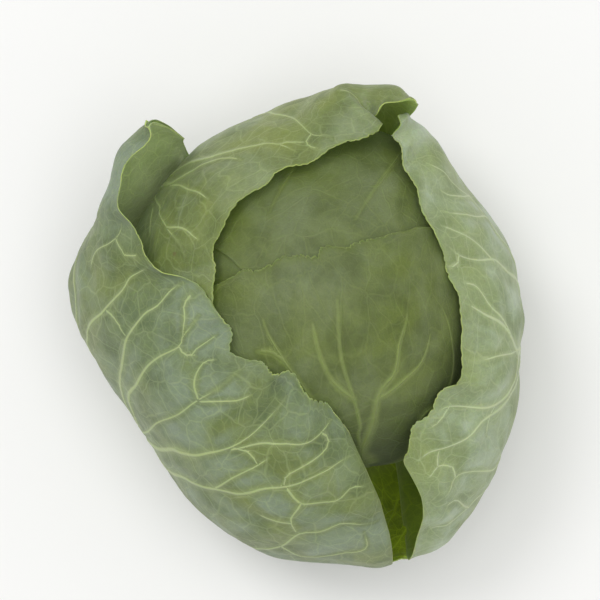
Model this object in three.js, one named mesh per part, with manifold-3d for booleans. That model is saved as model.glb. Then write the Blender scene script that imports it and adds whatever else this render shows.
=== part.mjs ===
// A green cabbage: a dense head on its cut stem, closed by one cap leaf and held in four loose
// wrapper leaves. Millimetres, +Z up. The origin is the centre of the cut face that the head
// stands on, and +Z is the stem's axis.
import * as THREE from 'three';
import { mergeVertices } from 'three/addons/utils/BufferGeometryUtils.js';
import Module from 'manifold-3d';

// The head: an ellipsoid on the stem's axis with two bulges. Each is highest in one direction from
// the centre and falls off with the angle from it. Angles are in degrees.
const HEAD_RADIUS = 78;
const HEAD_HALF_HEIGHT = 72;
const HEAD_CENTRE = new THREE.Vector3(0, 0, 92);
const HEAD_BULGES = [
  { azimuth: 66, elevation: 15, height: 13, spread: 24 },
  { azimuth: 312, elevation: 0, height: 9, spread: 22 },
];
const CORE_SIDES = 34;
const CORE_RINGS = 20;

// The stem, cut square at z = 0, with the low lumps of its leaf scars.
const STEM_RADIUS = 17;
const STEM_TOP = 19.3;
const STEM_PROFILE = [
  [0, 0], [15.4, 0], [16.6, 1.2], [16.8, 5], [16.2, 11], [15.8, 18.3], [14.6, STEM_TOP], [0, STEM_TOP],
];
const STEM_SIDES = 30;
const STEM_LUMPS = 5;
const STEM_LUMP_HEIGHT = 0.45;

// Leaf sheets: their thickness, and the heights of the ribs and veins on them.
const ROOT_RADIUS = STEM_RADIUS + 0.7;
const BLADE_THICKNESS = 1.2;
const ROOT_THICKNESS = 2.2;
const CAP_LIFT = 3.2;
const CAP_THICKNESS = 1.4;
const HEART_LEAF_THICKNESS = 3.2;
const HEART_LEAF_STANDS_OUT = 1.6;
const STOUT_RIB_HEIGHT = 5;
const LOW_RIB_HEIGHT = 3;
const HEAD_RIB_HEIGHT = 2.5;
const VEIN_HEIGHT = 0.9;
const CAP_VEIN_HEIGHT = 0.8;
const HEART_VEIN_HEIGHT = 0.35;
const MIDRIB_WIDTHS = [14, 4];
const LATERAL_WIDTHS = [6, 4];
const BRANCH_WIDTHS = [4.5, 4];

// Where a vein seen from above joins the midrib: the drop in level to the join grows with how far
// out the vein is first seen, and the way there sags by a share of the drop.
const JOIN_LOWEST = 0.12;
const JOIN_LEAST_DROP = 0.06;
const JOIN_DROP_RATE = 0.9;
const JOIN_SAG = 0.12;

const STEM_ROUGHNESS = 0.75;
const LEAF_ROUGHNESS = 0.5;
const STEM_COLOUR = 0xd9dcb4;
const HEART_COLOUR = 0x76824f;
const CAP_COLOUR = 0x798358;
const RIGHT_COLOUR = 0x8f9c80;
const TOP_COLOUR = 0x86915b;
const LEFT_COLOUR = 0x8b9672;
const BASE_COLOUR = 0x4b590f;

// How finely the sheets are cut into triangles, and how far apart their points keep.
const WRAPPER_STEP = 9.5;
const HEAD_STEP = 11.5;
const ROOT_STEP = 6;
const VEIN_STEP = 9;
const VEIN_CLEARANCE = 2.1;
const MIDRIB_CLEARANCE = 6;
const BLADE_CLEARANCE = 0.6;
const BLADE_STRAY = 0.03;
const FLAT_STEPS = 24;
const FINE_STEPS = 120;
const NORMAL_STEP = 0.004;
const WELD_DISTANCE = 1e-4;

// A leaf's rows run from the stem to its edge: root, two rows under the head, belly, shoulder,
// margin. The last three are lists of [azimuth in degrees, radius, height], one entry a station.
// middle is the azimuth of the midrib, and waist the share of the leaf's spread left at its root.
// A leaf is waved from WAVY_FROM up and on its sides, and lobed from LOBED_FROM up. folds are the
// stations at which a leaf turns back on itself between its shoulder and its margin.
const UNDER_ROWS = [{ turn: 30, spread: 0.6 }, { turn: 60, spread: 0.93 }];
const SHOULDER_LEVEL = 0.8;
const FOLD_END_LEVEL = 0.98;
const WAVY_FROM = 0.62;
const LOBED_FROM = 0.6;
const WAVY_SIDE = 0.125;
const WAVY_SIDE_RISE = [0.3, 0.6];
const LOBE_DRIFT = 17;

const LEFT_LEAF = {
  middle: 217, rootHeight: 9, waist: 0.6,
  wave: { height: 1.7, count: 8.5, phase: 0.4 }, lobes: { depth: 0.012, count: 7.2 },
  belly: [[129.5, 100, 88], [133.7, 100.3, 88], [140, 100.6, 88], [148, 101.6, 88], [155.5, 107, 86],
    [162, 114.5, 84], [168, 118.5, 84], [176, 120, 84], [187, 116, 84], [199, 109, 84], [213, 106, 84],
    [230, 110.6, 84], [243, 117, 84], [257, 125, 84], [270, 126.3, 84], [280, 130, 84], [286.4, 133.2, 82]],
  shoulder: [[130, 102.5, 120], [133.6, 116.5, 129], [140.3, 116.8, 127], [148, 115.5, 126],
    [155, 113.5, 122], [160.5, 110.5, 122], [167, 105, 126], [174, 97, 132], [187, 93, 138], [199, 87, 140],
    [213, 84, 142], [230, 86, 142], [243, 91, 142], [257, 97, 140], [270, 100, 137], [280, 103.5, 134],
    [287.8, 103, 128]],
  margin: [[132.2, 119, 143], [133.9, 113, 145], [139.3, 108.4, 145], [147.5, 109.5, 144],
    [153.5, 103.5, 143], [158.5, 90.5, 145], [166.5, 77.5, 151], [173, 52, 161], [187, 44.5, 163],
    [200, 41.5, 164], [213, 42, 165], [230, 36.5, 166], [243, 33, 165], [260, 37, 163], [270, 42, 161],
    [278, 48.5, 159], [283.8, 60, 154]],
};

const TOP_LEAF = {
  middle: 143, rootHeight: 13.5, waist: 0.6, folds: [4, 5],
  wave: { height: 1.3, count: 7, phase: 1.9 }, lobes: { depth: 0.012, count: 5.7 },
  belly: [[63.6, 102.8, 122], [67, 106.5, 122], [71, 106.7, 120], [74.5, 105.5, 117], [78, 104, 115],
    [81, 102.8, 113], [85, 101.3, 110], [89.5, 100, 106], [94, 98, 101], [100, 96.8, 97], [108, 95.5, 94],
    [118, 94.5, 92], [130, 94.3, 90], [142, 93.5, 90], [154, 94, 90], [166, 93.5, 90], [180, 91, 90],
    [195, 88, 90]],
  shoulder: [[64.3, 104.3, 137], [66.6, 107, 139], [69.2, 108, 139], [73, 106.4, 139], [80.5, 103.6, 136],
    [84, 101.2, 139.5], [86.5, 97, 138.5], [89.5, 92.5, 136], [93.5, 89.5, 134], [99, 86, 131],
    [108, 82.5, 130], [118, 81.5, 130], [130, 81, 130], [142, 80.5, 130], [154, 80, 130], [166, 78, 131],
    [180, 76, 132], [195, 74.5, 132]],
  margin: [[65, 104.6, 146], [67.4, 103, 149.5], [70, 98.7, 149], [71.7, 94.4, 147], [73.3, 90, 142],
    [69.7, 86.9, 151], [73, 80.3, 150], [79.1, 75.9, 149], [88.6, 69.5, 148], [94.6, 65, 148],
    [104, 63, 148], [114, 60, 148], [128, 57, 150], [140, 56, 152], [149, 55, 153], [157, 51, 156],
    [167, 47, 158], [183, 46, 159]],
};

const RIGHT_LEAF = {
  middle: 347, rootHeight: 15, waist: 0.6,
  wave: { height: 1.6, count: 8, phase: 4.1 }, lobes: { depth: 0.014, count: 6.1 },
  belly: [[290, 134.6, 82], [297, 133, 83], [305.6, 127.3, 84], [313, 123, 85], [320, 117.5, 86],
    [332, 110, 86], [347, 102.7, 86], [360, 100.3, 86], [374, 98.8, 86], [385, 94.7, 86], [396, 92, 88],
    [406, 92, 90], [413, 94, 92], [418, 95.5, 93], [421.5, 96.5, 95], [424, 97, 97], [425.5, 97.5, 100]],
  shoulder: [[297.6, 112, 122], [303, 111, 122], [310, 107.5, 122], [317, 104.5, 122], [324, 101, 122],
    [334, 97.5, 122], [347, 94, 122], [360, 89.5, 122], [374, 87.5, 122], [385, 86, 122], [396, 86, 122],
    [406, 89, 124], [413, 93, 126], [418, 95, 128], [421.5, 96.5, 129], [424, 97.5, 130], [426, 98.5, 131]],
  margin: [[298.8, 87.5, 134], [301.2, 79.5, 136.5], [307, 74.5, 137.5], [315, 72.5, 137.5],
    [324, 72.5, 137], [332, 75.5, 136.5], [344, 70, 138.8], [360, 66.2, 140.7], [374, 63.6, 143],
    [386, 64, 144.4], [398, 65.8, 144], [409, 68.8, 142.4], [416, 74.5, 141], [421.5, 81.2, 141],
    [425, 85.5, 141.5], [426.4, 91, 141.5], [426.8, 97, 140.5]],
};

const BASE_LEAF = {
  middle: 305, rootHeight: 6, waist: 0.6,
  wave: { height: 1, count: 2.5, phase: 0 }, lobes: { depth: 0.012, count: 2.6 },
  belly: [[281, 124.5, 49], [285, 124.5, 49], [288.5, 122, 50], [291.5, 122.5, 50], [297, 119.5, 46],
    [306, 112, 41], [316, 105, 36], [328, 97, 31]],
  shoulder: [[281, 130.5, 56], [285, 131.5, 58.5], [288.5, 131, 60], [291, 131, 57], [296, 127.2, 52],
    [306, 118, 48], [317, 110.5, 41], [330, 101.5, 35]],
  margin: [[281, 132.5, 61], [285, 133.5, 65], [288.2, 134.3, 70], [290, 134.2, 66], [294, 132, 60],
    [305, 123, 54], [318, 113.5, 44], [332, 103.5, 36]],
};

// The cap leaf and the head's own outer leaf lie on the ellipsoid: of their rows only the
// directions from the head's centre count, and lift is their outer face's height over it.
const CAP_LEAF = {
  middle: 289, rootHeight: 18.5, waist: 0.5, lift: CAP_LIFT,
  wave: { height: 0, count: 0, phase: 2.2 }, lobes: { depth: 0.01, count: 4.3 },
  belly: [[205, 78, 92], [225, 78, 92], [245, 78, 92], [265, 78, 92], [289, 78, 92], [313, 78, 92],
    [333, 78, 92], [353, 78, 92], [373, 78, 92]],
  shoulder: [[190, 66, 125], [212, 62, 130], [235, 60, 135], [260, 58, 138], [289, 56, 140], [318, 58, 138],
    [343, 60, 135], [366, 62, 130], [388, 66, 125]],
  margin: [[172, 52, 140], [165, 42, 150], [148, 32, 155], [125, 26, 160], [105, 24, 160], [85, 26, 160],
    [62, 32, 155], [45, 42, 150], [38, 52, 140]],
};

const HEART_LEAF = {
  middle: 62, rootHeight: 18.5, waist: 0.5, lift: 0,
  wave: { height: 0, count: 0, phase: 0.7 }, lobes: { depth: 0.01, count: 4.6 },
  belly: [[-35, 78, 92], [-10, 78, 92], [15, 78, 92], [40, 78, 92], [62, 78, 92], [84, 78, 92],
    [109, 78, 92], [134, 78, 92], [159, 78, 92]],
  shoulder: [[-28, 60, 128], [-12, 58, 132], [12, 56, 136], [38, 54, 139], [62, 53, 140], [86, 54, 139],
    [112, 56, 136], [136, 58, 132], [152, 60, 128]],
  margin: [[-28, 44, 148], [-38, 30, 156], [-50, 20, 160], [-75, 10, 163], [-118, 8, 163], [-161, 10, 163],
    [174, 20, 160], [162, 30, 156], [152, 44, 148]],
};

// Main veins, as they run when the head is seen from straight above. A course is a list of view
// positions, right and down from the corner of a square grid of VIEW_STEP that is centred over
// VIEW_AXIS and lies VIEW_DISTANCE below the eye, at the height of the highest rim.
const VIEW_STEP = 0.467;
const VIEW_MIDDLE = 300;
const VIEW_AXIS = [-7.8, 1.5];
const VIEW_DISTANCE = 1600;
const VIEW_HEIGHT = 168;

const LEFT_VEINS = {
  midrib: [[143, 434], [158, 424], [180, 412], [200, 400], [220, 386], [238, 370]],
  laterals: [
    [[148, 442], [170, 450], [190, 453], [210, 451], [234, 444], [255, 430], [275, 412], [288, 396]],
    [[166, 468], [180, 476], [195, 482], [215, 487], [241, 494], [262, 489], [280, 484], [310, 474],
      [330, 466], [355, 452]],
    [[240, 545], [260, 548], [282, 546], [298, 532], [320, 531], [342, 525], [360, 523], [378, 519]],
    [[134, 416], [129, 398], [138, 382], [148, 368], [160, 356], [179, 346], [182, 338], [190, 328],
      [202, 314]],
    [[120, 378], [123, 356], [128, 337], [146, 315], [160, 306], [174, 290], [186, 283]],
    [[90, 352], [88, 338], [89, 328], [100, 316], [108, 306], [124, 290], [135, 277], [150, 266]],
    [[77, 300], [83, 243], [98, 215], [108, 198]],
  ],
  branches: [
    [[234, 445], [255, 444], [276, 444], [292, 440], [322, 428], [332, 417]],
    [[215, 487], [237, 475], [257, 465], [270, 457]],
    [[179, 346], [184, 352], [193, 355], [198, 348], [218, 334]],
  ],
};

const TOP_VEINS = {
  midrib: [[158, 203], [160, 215], [168, 228], [180, 243], [187, 258]],
  laterals: [
    [[173, 184], [190, 172], [205, 163], [226, 157], [242, 159]],
    [[212, 156], [230, 150], [244, 147], [266, 145], [280, 147], [298, 153]],
    [[262, 112], [274, 114], [290, 116], [300, 123], [310, 133], [328, 137], [336, 143]],
  ],
  branches: [
    [[171, 187], [182, 187], [193, 191], [212, 202]],
  ],
};

const RIGHT_VEINS = {
  midrib: [[520, 350], [500, 356], [482, 359], [464, 361]],
  laterals: [
    [[516, 350], [510, 335], [500, 325], [480, 312], [462, 303]],
    [[517, 353], [514, 372], [507, 392], [495, 405], [475, 409], [450, 406], [428, 410]],
    [[510, 392], [500, 407], [487, 419], [470, 433], [455, 441], [442, 449], [423, 453], [411, 458]],
    [[499, 463], [485, 470], [470, 472], [454, 477], [447, 490], [437, 500]],
    [[480, 495], [468, 507], [458, 516], [448, 523], [434, 528], [425, 540]],
    [[521, 288], [507, 271], [496, 262], [475, 259], [457, 256], [442, 244]],
    [[500, 238], [487, 220], [472, 217], [457, 214], [440, 210]],
  ],
  branches: [
    [[510, 335], [500, 317], [487, 305], [475, 288], [460, 282]],
    [[454, 477], [452, 467], [436, 465], [424, 476]],
  ],
};

const CAP_VEINS = {
  midrib: [[362, 452], [360, 424], [352, 396], [342, 363], [336, 330], [332, 290]],
  laterals: [
    [[364, 448], [377, 396], [394, 371], [398, 342], [404, 310]],
    [[340, 440], [312, 400], [283, 360], [270, 335], [262, 312]],
    [[420, 420], [442, 400], [452, 372], [449, 329], [440, 305]],
  ],
  branches: [
    [[283, 360], [272, 350], [256, 345]],
  ],
};

const HEART_VEINS = {
  top: 0.86, pairs: [[0.16, 0.5, 0.8], [0.26, 0.66, 0.75], [0.4, 0.78, 0.66], [0.56, 0.86, 0.5]],
};
const BASE_VEINS = { top: 0.95, pairs: [[0.3, 0.66, 0.8], [0.5, 0.85, 0.8]] };

const wasm = await Module();
wasm.setup();

function fromAxis(azimuth, radius, height) {
  const angle = THREE.MathUtils.degToRad(azimuth);
  return new THREE.Vector3(radius * Math.cos(angle), radius * Math.sin(angle), height);
}

function through(points) {
  return new THREE.CatmullRomCurve3(points, false, 'catmullrom', 0.5);
}

// The row curves of a leaf, from its root to its margin.
function leafRows(leaf) {
  const narrowed = (azimuth, share) => leaf.middle + (azimuth - leaf.middle) * share;
  const root = leaf.belly.map(([azimuth]) => (
    fromAxis(narrowed(azimuth, leaf.waist), ROOT_RADIUS, leaf.rootHeight)
  ));
  const under = UNDER_ROWS.map(({ turn, spread }) => {
    const angle = THREE.MathUtils.degToRad(turn);
    const share = leaf.waist + (1 - leaf.waist) * spread;
    return leaf.belly.map(([azimuth, radius, height]) => fromAxis(
      narrowed(azimuth, share),
      ROOT_RADIUS + (radius - ROOT_RADIUS) * Math.sin(angle),
      leaf.rootHeight + (height - leaf.rootHeight) * (1 - Math.cos(angle)),
    ));
  });
  const drawn = [leaf.belly, leaf.shoulder, leaf.margin].map((row) => row.map((entry) => fromAxis(...entry)));
  return [root, ...under, ...drawn].map(through);
}

const BULGE_WAYS = HEAD_BULGES.map(({ azimuth, elevation }) => {
  const rise = THREE.MathUtils.degToRad(elevation);
  return fromAxis(azimuth, Math.cos(rise), Math.sin(rise));
});

// The point of the head's surface, raised by lift, in the direction of a point.
function ontoHead(point, lift) {
  const out = point.clone().sub(HEAD_CENTRE).normalize();
  const flat = (out.x ** 2 + out.y ** 2) / HEAD_RADIUS ** 2;
  const reach = 1 / Math.sqrt(flat + out.z ** 2 / HEAD_HALF_HEIGHT ** 2);
  const bulges = HEAD_BULGES.map(({ height, spread }, k) => {
    const away = THREE.MathUtils.radToDeg(out.angleTo(BULGE_WAYS[k])) / spread;
    return height * Math.exp(-(away ** 2));
  });
  const length = bulges.reduce((sum, bulge) => sum + bulge, reach + lift);
  return out.multiplyScalar(length).add(HEAD_CENTRE);
}

// How far towards a leaf's free edges a place is: 0 inside, 1 on the margin or on a side.
function edgeShare(u, v) {
  const beside = Math.max(0, 1 - Math.min(u, 1 - u) / WAVY_SIDE);
  const side = beside * THREE.MathUtils.smoothstep(v, ...WAVY_SIDE_RISE);
  return Math.max(THREE.MathUtils.smoothstep(v, WAVY_FROM, 1), side);
}

// A leaf's smooth outer face: u runs across it from side to side, v from the stem to the margin.
function leafSurface(leaf) {
  const rows = leafRows(leaf);
  const plain = (u, v) => {
    const point = through(rows.map((row) => row.getPoint(u))).getPoint(v);
    return leaf.lift === undefined ? point : ontoHead(point, leaf.lift);
  };
  const normal = (u, v) => {
    if (leaf.lift !== undefined) return plain(u, v).sub(HEAD_CENTRE).normalize();
    const across = plain(Math.min(u + NORMAL_STEP, 1), v).sub(plain(Math.max(u - NORMAL_STEP, 0), v));
    const along = plain(u, Math.min(v + NORMAL_STEP, 1)).sub(plain(u, Math.max(v - NORMAL_STEP, 0)));
    return across.cross(along).normalize();
  };
  const stations = leaf.belly.length - 1;
  const next = leaf.belly.findIndex(([azimuth]) => azimuth > leaf.middle);
  const [before, after] = [leaf.belly[next - 1][0], leaf.belly[next][0]];
  const middle = (next - 1 + (leaf.middle - before) / (after - before)) / stations;
  return { leaf, plain, normal, middle, stations };
}

// The leaf laid flat: x across it from the midrib and y up it from the root, in millimetres.
function flattened({ plain, middle }) {
  const steps = Array.from({ length: FLAT_STEPS }, (_, k) => [k / FLAT_STEPS, (k + 1) / FLAT_STEPS]);
  const run = (place) => steps.reduce((sum, [from, to]) => sum + place(from).distanceTo(place(to)), 0);
  const height = run((v) => plain(middle, v));
  const widths = [...steps.map(([v]) => v), 1].map((v) => run((u) => plain(u, v)));
  const widthAt = (v) => {
    const place = THREE.MathUtils.clamp(v, 0, 1) * FLAT_STEPS;
    const below = Math.min(Math.floor(place), FLAT_STEPS - 1);
    return THREE.MathUtils.lerp(widths[below], widths[below + 1], place - below);
  };
  return {
    toFlat: (u, v) => new THREE.Vector2((u - middle) * widthAt(v), v * height),
    fromFlat: (x, y) => new THREE.Vector2(middle + x / widthAt(y / height), y / height),
  };
}

// The outer face of the waved and lobed leaf at u, v, raised by a vein's height.
function facePoint({ leaf, plain, normal }, u, v, raise) {
  const { height, count, phase } = leaf.wave;
  const ripple = Math.sin(count * 2 * Math.PI * u + phase);
  const lobe = 0.5 + 0.5 * Math.sin(leaf.lobes.count * 2 * Math.PI * u + Math.sin(LOBE_DRIFT * u + phase));
  const reach = v * (1 - leaf.lobes.depth * lobe * THREE.MathUtils.smoothstep(v, LOBED_FROM, 1));
  const out = normal(u, reach);
  return { out, point: plain(u, reach).addScaledVector(out, height * ripple * edgeShare(u, v) + raise) };
}

// Even steps along a line of flat points: each step's place, and the way on from it.
function evenSteps(fine, step, least) {
  const along = [0];
  fine.slice(1).forEach((point, k) => along.push(along[k] + point.distanceTo(fine[k])));
  const length = along.at(-1);
  const count = Math.max(least, Math.round(length / step));
  return Array.from({ length: count + 1 }, (_, k) => {
    const next = k < count ? along.findIndex((run) => run > (length * k) / count) : fine.length - 1;
    const share = ((length * k) / count - along[next - 1]) / (along[next] - along[next - 1]);
    const place = fine[next - 1].clone().lerp(fine[next], share);
    return { place, share: k / count, ahead: fine[next].clone().sub(fine[next - 1]).normalize() };
  });
}

// Points at even steps round the edge of the flat leaf.
function edgePoints({ toFlat }, step) {
  const sides = [(t) => [t, 0], (t) => [1, t], (t) => [1 - t, 1], (t) => [0, 1 - t]];
  return sides.flatMap((side, order) => {
    const fine = Array.from({ length: FINE_STEPS + 1 }, (_, k) => toFlat(...side(k / FINE_STEPS)));
    const steps = evenSteps(fine, order === 0 ? ROOT_STEP : step, 2).slice(0, -1);
    return steps.map(({ place }) => ({ place, raise: 0 }));
  });
}

// Points along the leaf's folds, from its shoulder to just inside its margin.
function foldPoints({ toFlat }, { leaf, stations }) {
  return (leaf.folds ?? []).flatMap((station) => {
    const level = (k) => THREE.MathUtils.lerp(SHOULDER_LEVEL, FOLD_END_LEVEL, k / FINE_STEPS);
    const fine = Array.from({ length: FINE_STEPS + 1 }, (_, k) => toFlat(station / stations, level(k)));
    return evenSteps(fine, VEIN_STEP, 2).map(({ place }) => ({ place, raise: 0 }));
  });
}

// Points along a vein: its raised middle, and the foot of its slope on either side.
function veinPoints({ toFlat }, { route, widths, heights }) {
  const fine = new THREE.SplineCurve(route).getPoints(FINE_STEPS).map(({ x, y }) => toFlat(x, y));
  return evenSteps(fine, VEIN_STEP, 2).flatMap(({ place, share, ahead }) => {
    const half = THREE.MathUtils.lerp(...widths, share) / 2;
    const side = new THREE.Vector2(-ahead.y, ahead.x).multiplyScalar(half);
    return [
      { place, raise: THREE.MathUtils.lerp(...heights, share) },
      { place: place.clone().add(side), raise: 0 },
      { place: place.clone().sub(side), raise: 0 },
    ];
  });
}

// Rows of points over the flat leaf, every second row half a step along. They stray a little from
// even places, so that no four of them lie on one circle.
function bladePoints({ toFlat }, step) {
  const levels = Array.from({ length: FLAT_STEPS + 1 }, (_, k) => k / FLAT_STEPS);
  const corners = levels.flatMap((v) => [toFlat(0, v), toFlat(1, v)]);
  const [low, high] = [Math.min(...corners.map(({ x }) => x)), Math.max(...corners.map(({ x }) => x))];
  const rise = step * Math.sqrt(3) / 2;
  const points = [];
  for (let row = 1; row * rise < corners.at(-1).y; row += 1) {
    for (let x = low + (row % 2) * (step / 2); x < high; x += step) {
      const stray = BLADE_STRAY * Math.sin(3 * row + x);
      points.push({ place: new THREE.Vector2(x + stray, row * rise + stray), raise: 0 });
    }
  }
  return points;
}

// Delaunay triangles of flat points, counter-clockwise, one point added at a time.
function triangulate(places) {
  const far = 1e5;
  const count = places.length;
  const frame = [[-far, -far], [far, -far], [0, far]].map((corner) => new THREE.Vector2(...corner));
  const all = [...places, ...frame];
  const circled = (...corners) => {
    const [a, b, c] = corners.map((corner) => all[corner]);
    const [bx, by, cx, cy] = [b.x - a.x, b.y - a.y, c.x - a.x, c.y - a.y];
    const twice = 2 * (bx * cy - by * cx);
    const x = (cy * (bx * bx + by * by) - by * (cx * cx + cy * cy)) / twice;
    const y = (bx * (cx * cx + cy * cy) - cx * (bx * bx + by * by)) / twice;
    return { corners, x: a.x + x, y: a.y + y, square: x * x + y * y };
  };
  let triangles = [circled(count, count + 1, count + 2)];
  places.forEach((place, added) => {
    const open = new Map();
    triangles = triangles.filter(({ corners, x, y, square }) => {
      if ((place.x - x) ** 2 + (place.y - y) ** 2 >= square) return true;
      corners.forEach((from, k) => {
        const to = corners[(k + 1) % 3];
        if (!open.delete(`${to} ${from}`)) open.set(`${from} ${to}`, [from, to]);
      });
      return false;
    });
    open.forEach(([from, to]) => triangles.push(circled(from, to, added)));
  });
  return triangles.map(({ corners }) => corners).filter((corners) => Math.max(...corners) < count);
}

// The triangles that hang together by whole sides with the given first one.
function joined(triangles, first) {
  const sides = ([a, b, c]) => [[a, b], [b, c], [c, a]];
  const owner = new Map(triangles.flatMap((corners) => (
    sides(corners).map(([a, b]) => [`${a} ${b}`, corners])
  )));
  const found = new Set([first]);
  found.forEach((corners) => sides(corners).forEach(([a, b]) => {
    const next = owner.get(`${b} ${a}`);
    if (next) found.add(next);
  }));
  return [...found];
}

// The points of a flat leaf and the triangles between them.
function leafTriangles(surface, veins, step) {
  const flat = flattened(surface);
  const points = edgePoints(flat, step);
  const edges = points.length;
  const inside = ({ x, y }) => {
    const { x: u, y: v } = flat.fromFlat(x, y);
    return u > 0 && u < 1 && v > 0 && v < 1;
  };
  const take = (candidate, gap) => {
    const clear = points.every(({ place }) => place.distanceTo(candidate.place) > gap);
    if (clear && inside(candidate.place)) points.push(candidate);
  };
  const [midrib, ...others] = veins.map((vein) => veinPoints(flat, vein));
  const beside = ({ place }) => (
    midrib.every((point) => point.raise === 0 || point.place.distanceTo(place) > MIDRIB_CLEARANCE)
  );
  const lines = [...foldPoints(flat, surface), ...midrib, ...others.flat().filter(beside)];
  lines.forEach((candidate) => take(candidate, VEIN_CLEARANCE));
  bladePoints(flat, step).forEach((candidate) => take(candidate, step * BLADE_CLEARANCE));
  const within = triangulate(points.map(({ place }) => place)).filter((corners) => {
    const centre = new THREE.Vector2();
    corners.forEach((corner) => centre.addScaledVector(points[corner].place, 1 / 3));
    return inside(centre) || Math.max(...corners) >= edges;
  });
  const triangles = joined(within, within.find((corners) => Math.max(...corners) >= edges));
  const places = points.map(({ place, raise }) => {
    const { x, y } = flat.fromFlat(place.x, place.y);
    return { u: THREE.MathUtils.clamp(x, 0, 1), v: THREE.MathUtils.clamp(y, 0, 1), raise };
  });
  return { places, triangles };
}

// A closed sheet between the leaf's waved outer face and an inner face under it, cut into the
// same triangles on both, with its veins as ridges on the outer one.
function leafGeometry(surface, veins, { step, thicknessAt }) {
  const { places, triangles } = leafTriangles(surface, veins, step);
  const outer = [];
  const inner = [];
  places.forEach(({ u, v, raise }) => {
    const { point, out } = facePoint(surface, u, v, raise);
    outer.push(...point.toArray());
    inner.push(...point.addScaledVector(out, -raise - thicknessAt(v)).toArray());
  });
  const back = places.length;
  const used = new Set(triangles.flatMap(([a, b, c]) => [`${a} ${b}`, `${b} ${c}`, `${c} ${a}`]));
  const faces = triangles.flatMap(([a, b, c]) => {
    const rims = [[a, b], [b, c], [c, a]].filter(([from, to]) => !used.has(`${to} ${from}`));
    const strips = rims.flatMap(([from, to]) => [to, from, from + back, to, from + back, to + back]);
    return [a, b, c, a + back, c + back, b + back, ...strips];
  });
  return closedGeometry([...outer, ...inner], faces);
}

function closedGeometry(positions, faces) {
  const geometry = new THREE.BufferGeometry();
  geometry.setAttribute('position', new THREE.Float32BufferAttribute(positions, 3));
  geometry.setIndex(faces);
  return geometry;
}

// A three.js shape with its doubled points merged and every point moved by shift.
function reshaped(geometry, shift) {
  geometry.deleteAttribute('normal');
  geometry.deleteAttribute('uv');
  const { position } = geometry.attributes;
  for (let k = 0; k < position.count; k += 1) {
    const point = new THREE.Vector3().fromBufferAttribute(position, k);
    position.setXYZ(k, ...shift(point).toArray());
  }
  return mergeVertices(geometry, WELD_DISTANCE);
}

// The u, v of a leaf that lies behind a view position, the highest one where there are two. Only
// the leaf above its belly is searched, first over all of it and then ever closer to the best.
function leafPlace(surface, [right, down]) {
  const lowest = 0.45;
  const heightGain = 0.02;
  const aim = new THREE.Vector2((right - VIEW_MIDDLE) * VIEW_STEP, (VIEW_MIDDLE - down) * VIEW_STEP);
  const miss = (u, v) => {
    const { x, y, z } = surface.plain(u, v);
    const nearness = VIEW_DISTANCE / (VIEW_DISTANCE + VIEW_HEIGHT - z);
    const seen = new THREE.Vector2(x - VIEW_AXIS[0], y - VIEW_AXIS[1]).multiplyScalar(nearness);
    return seen.distanceTo(aim) - heightGain * z;
  };
  let best = { u: 0.5, v: 0.5, miss: Infinity };
  const look = (span, steps) => {
    const { u: middleU, v: middleV } = best;
    for (let i = -steps; i <= steps; i += 1) {
      for (let j = -steps; j <= steps; j += 1) {
        const u = THREE.MathUtils.clamp(middleU + (span * i) / steps, 0, 1);
        const v = THREE.MathUtils.clamp(middleV + (span * j) / steps, lowest, 1);
        const found = miss(u, v);
        if (found < best.miss) best = { u, v, miss: found };
      }
    }
  };
  look(0.5, 24);
  [0.02, 0.006, 0.002].forEach((span) => look(span, 4));
  return new THREE.Vector2(best.u, best.v);
}

function solid(geometry) {
  const { position } = geometry.attributes;
  const mesh = new wasm.Mesh({
    numProp: 3,
    vertProperties: new Float32Array(position.array),
    triVerts: new Uint32Array(geometry.index.array),
  });
  return new wasm.Manifold(mesh);
}

function geometryOf(body) {
  const { vertProperties, triVerts, numProp } = body.getMesh();
  const positions = [];
  for (let k = 0; k < vertProperties.length; k += numProp) positions.push(...vertProperties.slice(k, k + 3));
  return mergeVertices(closedGeometry(positions, Array.from(triVerts)), WELD_DISTANCE);
}

// Every main vein of a leaf as places on it: the ones seen from above, carried down to the
// midrib. A vein joins the midrib the lower the further out it is first seen.
function tracedRoutes(surface, veins) {
  const { middle } = surface;
  const placed = (course) => course.map((position) => leafPlace(surface, position));
  const midrib = [new THREE.Vector2(middle, 0.02), new THREE.Vector2(middle, 0.3), ...placed(veins.midrib)];
  const laterals = veins.laterals.map((course) => {
    const places = placed(course);
    const [first] = places;
    const drop = JOIN_LEAST_DROP + JOIN_DROP_RATE * Math.abs(first.x - middle);
    const join = new THREE.Vector2(middle, Math.max(JOIN_LOWEST, first.y - drop));
    const between = join.clone().lerp(first, 0.5);
    between.y -= JOIN_SAG * drop;
    return [join, between, ...places];
  });
  return { midrib, laterals, branches: veins.branches.map(placed) };
}

// Veins by rule, for leaves whose faces are mostly hidden: pairs leave the midrib and bend up.
// A pair is the level at which it starts, the level that it reaches, and its share of the width.
function ruledRoutes({ middle }, { top, pairs }) {
  const at = (x, y) => new THREE.Vector2(x, y);
  const midrib = [at(middle, 0.02), at(middle, top / 2), at(middle, top)];
  const laterals = pairs.flatMap(([start, end, spread]) => [-middle, 1 - middle].map((reach) => {
    const out = reach * spread;
    return [at(middle, start), at(middle + 0.55 * out, start + 0.4 * (end - start)), at(middle + out, end)];
  }));
  return { midrib, laterals, branches: [] };
}

// A leaf's veins in the order in which their points are placed, with their widths and heights.
function sizedVeins({ midrib, laterals, branches }, ribHeight, veinHeight) {
  return [
    { route: midrib, widths: MIDRIB_WIDTHS, heights: [ribHeight, veinHeight] },
    ...laterals.map((route) => ({ route, widths: LATERAL_WIDTHS, heights: [veinHeight * 1.4, veinHeight] })),
    ...branches.map((route) => ({ route, widths: BRANCH_WIDTHS, heights: [veinHeight, veinHeight * 0.8] })),
  ];
}

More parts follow.
